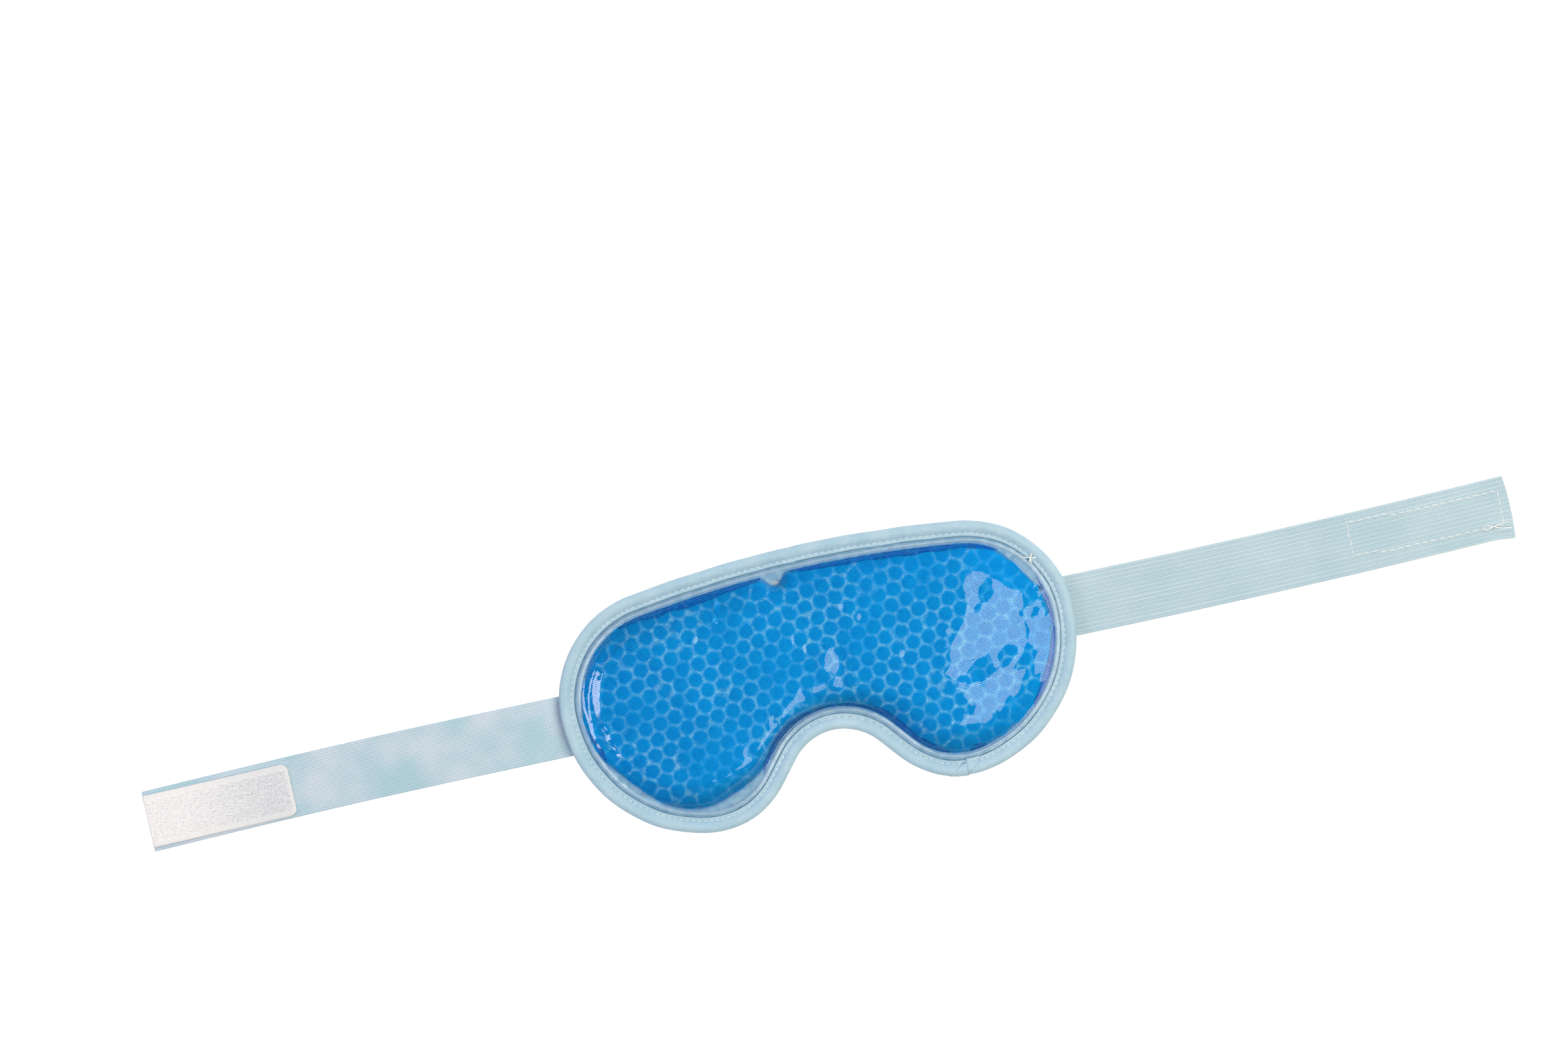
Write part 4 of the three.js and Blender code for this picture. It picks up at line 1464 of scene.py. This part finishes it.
def patch_plate(low, high, inner_side, cell=0.5):
    """A plate's grid with rounded corners at its inner end, and nearly square ones at its outer end."""
    x, y = np.meshgrid(np.arange(low[0], high[0] + cell / 2, cell), np.linspace(low[1], high[1], 44))
    middle, half = (high + low)[:2] / 2, (high - low)[:2] / 2
    dx, dy = x - middle[0], y - middle[1]
    r = np.where(dx * inner_side > 0, PATCH_CORNER, SQUARE_CORNER)
    over_x, over_y = np.abs(dx) - (half[0] - r), np.abs(dy) - (half[1] - r)
    corner = (over_x > 0) & (over_y > 0)
    far = np.maximum(over_x, over_y)
    scale = np.where(corner, far / np.maximum(np.hypot(over_x, over_y), 1e-6), 1)
    x = np.where(corner, middle[0] + np.sign(dx) * (half[0] - r + over_x * scale), x)
    y = np.where(corner, middle[1] + np.sign(dy) * (half[1] - r + over_y * scale), y)
    return x.ravel(), y.ravel(), grid_faces(*x.shape)


def patch_stitches(node, z, pitch, wobble, seed):
    """Where the stitches along the four sides of a patch's seam lie."""
    low, high = box_mm(node)
    a, b, c, d = (low[0], low[1]), (high[0], low[1]), (high[0], high[1]), (low[0], high[1])
    runs = enumerate([(a, b), (b, c), (c, d), (d, a)])
    return sum((line_frames(*ends, pitch, z, UP, wobble, seed + k) for k, ends in runs), [])


def hook_patch(white):
    """The hook tape: a woven base, a field of small bent hooks, and its stitches."""
    low, high = box_mm("hook_patch")
    x, y, faces = patch_plate(low, high, 1)
    off = np.minimum(y - low[1], high[1] - y)
    selvage = 1 - smoothstep((off - SELVAGE) / 0.5)
    rib = 0.07 * np.cos(2 * math.pi * x / SELVAGE_PITCH) * selvage
    edge = np.minimum(off, np.minimum(x - low[0], high[0] - x))
    rounded = 0.2 * (1 - smoothstep(edge / 0.6))
    base_top = low[2] + 0.75
    top = base_top + 0.1 * selvage + rib - rounded + 0.04 * ripple(x, y, 9, 71)
    points, faces = closed_layer(x, y, faces, x * 0 + low[2] - 0.12, top)
    base = make_piece("hook_patch_base", points, faces, hook_material())
    hooks = hook_field(low, high, base_top)
    frames = patch_stitches("hook_patch_stitching", base_top + 0.12, 2.9, 0.15, 72)
    stitches = copied_piece("hook_patch_stitches", stitch_template(2.1, 0.17, 0.35), frames, white)
    rides(base, "left_strap_end", "hook", "hook_patch")
    rides(hooks, "left_strap_end", "hook")
    rides(stitches, "left_strap_end", "thread", "hook_patch_stitching")


def hook_field(low, high, base_z):
    """Rows of hooks, each a thin bent hair."""
    rng = np.random.default_rng(73)
    height = high[2] - base_z - 0.1
    route = [(0, 0, -0.1), (0, 0, 0.55), (0.12, 0, 0.9), (0.34, 0, 0.98), (0.46, 0, 0.72)]
    template = tube(np.array(route) * [1, 1, height], [0.12, 0.1, 0.1, 0.09, 0.06], 5)
    frames = []
    row_pitch, pitch = 1.05, 0.82
    for x in np.arange(low[0] + 1.2, high[0] - 1.6, row_pitch):
        for k, y in enumerate(np.arange(low[1] + 2.9, high[1] - 2.8, pitch)):
            turn = rng.normal(0, 0.35) + math.pi * (k % 2)
            ax = np.array([math.cos(turn), math.sin(turn), rng.normal(0, 0.12)])
            ay = np.array([-math.sin(turn), math.cos(turn), 0])
            place = np.array([x + rng.normal(0, 0.25) + 0.5 * (k % 2), y + rng.normal(0, 0.2), base_z])
            frames.append((place, ax, ay, UP))
    return copied_piece("hook_patch_hooks", template, frames, hook_hair_material())


def loop_patch(white):
    """The loop tape under the right strap's end, its pile of small loops, and stitches on the strap's top."""
    low, high = box_mm("loop_patch")
    x, y, faces = patch_plate(low, high, -1)
    off = np.minimum(y - low[1], high[1] - y)
    field = smoothstep((off - SELVAGE) / 0.6)
    bottom = low[2] + 0.5 - 0.2 * field + 0.08 * ripple(x, y, 1.6, 74) * field
    points, faces = closed_layer(x, y, faces, bottom, x * 0 + high[2])
    base = make_piece("loop_patch_base", points, faces, loop_material())
    loops = loop_field(low, high)
    stitch_low, _ = box_mm("loop_patch_stitching")
    frames = patch_stitches("loop_patch_stitching", stitch_low[2] + 0.2, 3.4, 0.12, 76)
    lower_restart, upper_restart, shift = low[0] + 14, low[0] + 21, 0.9
    for origin, _, _, _ in frames:
        lower = origin[1] < (low[1] + high[1]) / 2
        origin[1] += shift * (origin[0] < (lower_restart if lower else upper_restart))
    stitches = copied_piece("loop_patch_stitches", stitch_template(2.5, 0.19, 0.3), frames, white)
    rides(base, "right_strap_end", "loop", "loop_patch")
    rides(loops, "right_strap_end", "loop")
    rides(stitches, "right_strap_end", "thread", "loop_patch_stitching")


def loop_field(low, high):
    """A soft pile of fine thread loops on the patch's underside."""
    rng = np.random.default_rng(75)
    angles = np.linspace(-0.3, math.pi + 0.3, 6)
    route = np.column_stack([0.32 * np.cos(angles), angles * 0, -0.3 * np.sin(angles)])
    frames = []
    row_pitch, pitch = 0.85, 0.8
    for x in np.arange(low[0] + 1, high[0] - 0.8, row_pitch):
        for y in np.arange(low[1] + 2.6, high[1] - 2.4, pitch):
            turn = rng.uniform(0, math.pi)
            ax = np.array([math.cos(turn), math.sin(turn), 0])
            ay = np.array([-math.sin(turn), math.cos(turn), 0])
            place = np.array([x + rng.normal(0, 0.15), y + rng.normal(0, 0.15), low[2] + 0.32])
            frames.append((place, ax, ay, UP))
    return copied_piece("loop_patch_loops", tube(route, 0.06, 4), frames, loop_material())


def thread_tail(white):
    """A loose end of thread in a loop on the right strap's end, as in the CAD."""
    low, _ = box_mm("thread_tail")
    z = low[2] + 0.15
    route = [
        (286.6, -5, z),
        (282.5, -4.9, z),
        (279.3, -5.6, z),
        (276.6, -6.2, z + 0.1),
        (275, -5.3, z + 0.2),
        (276.6, -4.4, z + 0.3),
        (279.3, -5.5, z + 0.4),
        (282.5, -6.8, z + 0.4),
        (286.6, -7.4, z + 0.4),
    ]
    points, faces, caps = tube(smooth_route(route, 90), 0.19, 8)
    piece = make_piece("thread_tail_loop", points, faces, white, extra_faces=caps)
    rides(piece, "right_strap_end", "thread", "thread_tail")


# ---- Camera, light and floor ----

VIEW_CENTRE = (-0.7, 59.3)
VIEW_WIDTH = 636.4
VIEW_ROLL = -12.9
LENS = 100
SENSOR = 36
FLOOR_DROP = 300
ROOM_SIZE = 20


def camera():
    data = bpy.data.cameras.new("camera")
    data.lens = LENS
    data.sensor_width = SENSOR
    data.clip_end = ROOM_SIZE
    view = bpy.data.objects.new("camera", data)
    height = VIEW_WIDTH * LENS / SENSOR
    view.location = Vector((*VIEW_CENTRE, height)) * MM
    view.rotation_euler = (0, 0, math.radians(VIEW_ROLL))
    bpy.context.scene.collection.objects.link(view)
    bpy.context.scene.camera = view


def area_light(name, place, target, size, radiance, colour, mirrored=True, lights_cloth=True):
    """A soft box at place, in metres, facing target. radiance is the brightness of its face."""
    data = bpy.data.lights.new(name, "AREA")
    data.shape = "RECTANGLE"
    data.size, data.size_y = size
    data.energy = radiance * size[0] * size[1] * math.pi
    data.color = colour
    light = bpy.data.objects.new(name, data)
    light.location = place
    light.rotation_euler = (Vector(target) - Vector(place)).to_track_quat("-Z", "Y").to_euler()
    light.visible_glossy = mirrored
    light.visible_diffuse = lights_cloth
    bpy.context.scene.collection.objects.link(light)


def lights():
    world = bpy.data.worlds.new("studio")
    world.use_nodes = True
    world.node_tree.nodes["Background"].inputs[0].default_value = (0.9, 0.95, 1, 1)
    world.node_tree.nodes["Background"].inputs[1].default_value = 0.1
    bpy.context.scene.world = world
    area_light("window_right", (0.78, -0.22, 1.6), (0.2, 0.05, 0), (1.7, 1.0), 4.1, (1.07, 0.96, 0.72))
    middle = (0, 0, 0)
    area_light("strip_left", (-1.65, 0.09, 1.3), middle, (1.0, 0.75), 5, (1, 0.92, 1))
    glint = (1, 0.95, 0.95)
    area_light("glint_left", (-1.66, 0.09, 1.31), middle, (1.1, 0.8), 5, glint, lights_cloth=False)
    area_light("fill_above", (0, 0, 2.2), middle, (4.5, 4.5), 0.4, (1, 0.97, 0.97), mirrored=False)
    area_light("key_top", (0.9, 1.7, 1.1), middle, (1, 1), 6.2, (1, 0.93, 0.87), mirrored=False)


def stage():
    """White paper under and all round the object, far enough off to catch no shadow."""
    reach = ROOM_SIZE / 2 / MM
    corners = np.array([[-1, -1, 0], [1, -1, 0], [1, 1, 0], [-1, 1, 0]]) * reach
    corners[:, 2] = -FLOOR_DROP
    m = Material("paper", 0.9, 0.0)
    paper_white = m.colour(m.place.noise(2.0).mix((0.94, 0.94, 0.94), (0.96, 0.96, 0.96)))
    m.set("Emission Color", (1, 1, 1, 1))
    m.set("Emission Strength", 0.5)
    paper = make_piece("floor", corners, np.array([[0, 1, 2, 3]]), paper_white, smooth=False)
    around = np.linspace(0, 2 * math.pi, 48, endpoint=False)
    ring = np.column_stack([np.cos(around), np.sin(around)]) * reach
    wall = np.vstack([np.column_stack([ring, ring[:, 0] * 0 + z]) for z in (-FLOOR_DROP, reach)])
    backdrop = make_piece("backdrop", wall, grid_faces(2, len(ring), wrap_columns=True), paper_white)
    backdrop.visible_diffuse = False
    backdrop.visible_glossy = False
    backdrop.visible_shadow = False


# ---- Scene ----

bpy.context.scene.view_settings.view_transform = "Standard"
camera()
lights()
stage()
front_film()
gel = gel_material()
gel_bed(gel)
gel_beads(gel)
liquid_edge()
weld_ring()
back_film()
edge_binding()
binding_join()
pale = thread_material("pale_thread", (0.74, 0.86, 0.92), (0.88, 0.94, 0.97))
white = thread_material("white_thread", (0.86, 0.9, 0.93), (0.95, 0.97, 0.98))
front_z, back_z = BINDING_HIGH[2] + 0.06, BINDING_LOW[2] - 0.06
binding_seam("binding_stitches_front", "binding_thread_front", FRONT_SEAM_INSET, front_z, UP, pale)
binding_seam("binding_stitches_back", "binding_thread_back", BACK_SEAM_INSET, back_z, -UP, pale)
hand_tacks(white, pale)
plush_backing()
elastic = elastic_material()
build_strap("left", -1, 0, elastic)
build_strap("right", 1, 1.05, elastic)
strap_tacks(pale)
hook_patch(white)
loop_patch(white)
thread_tail(white)
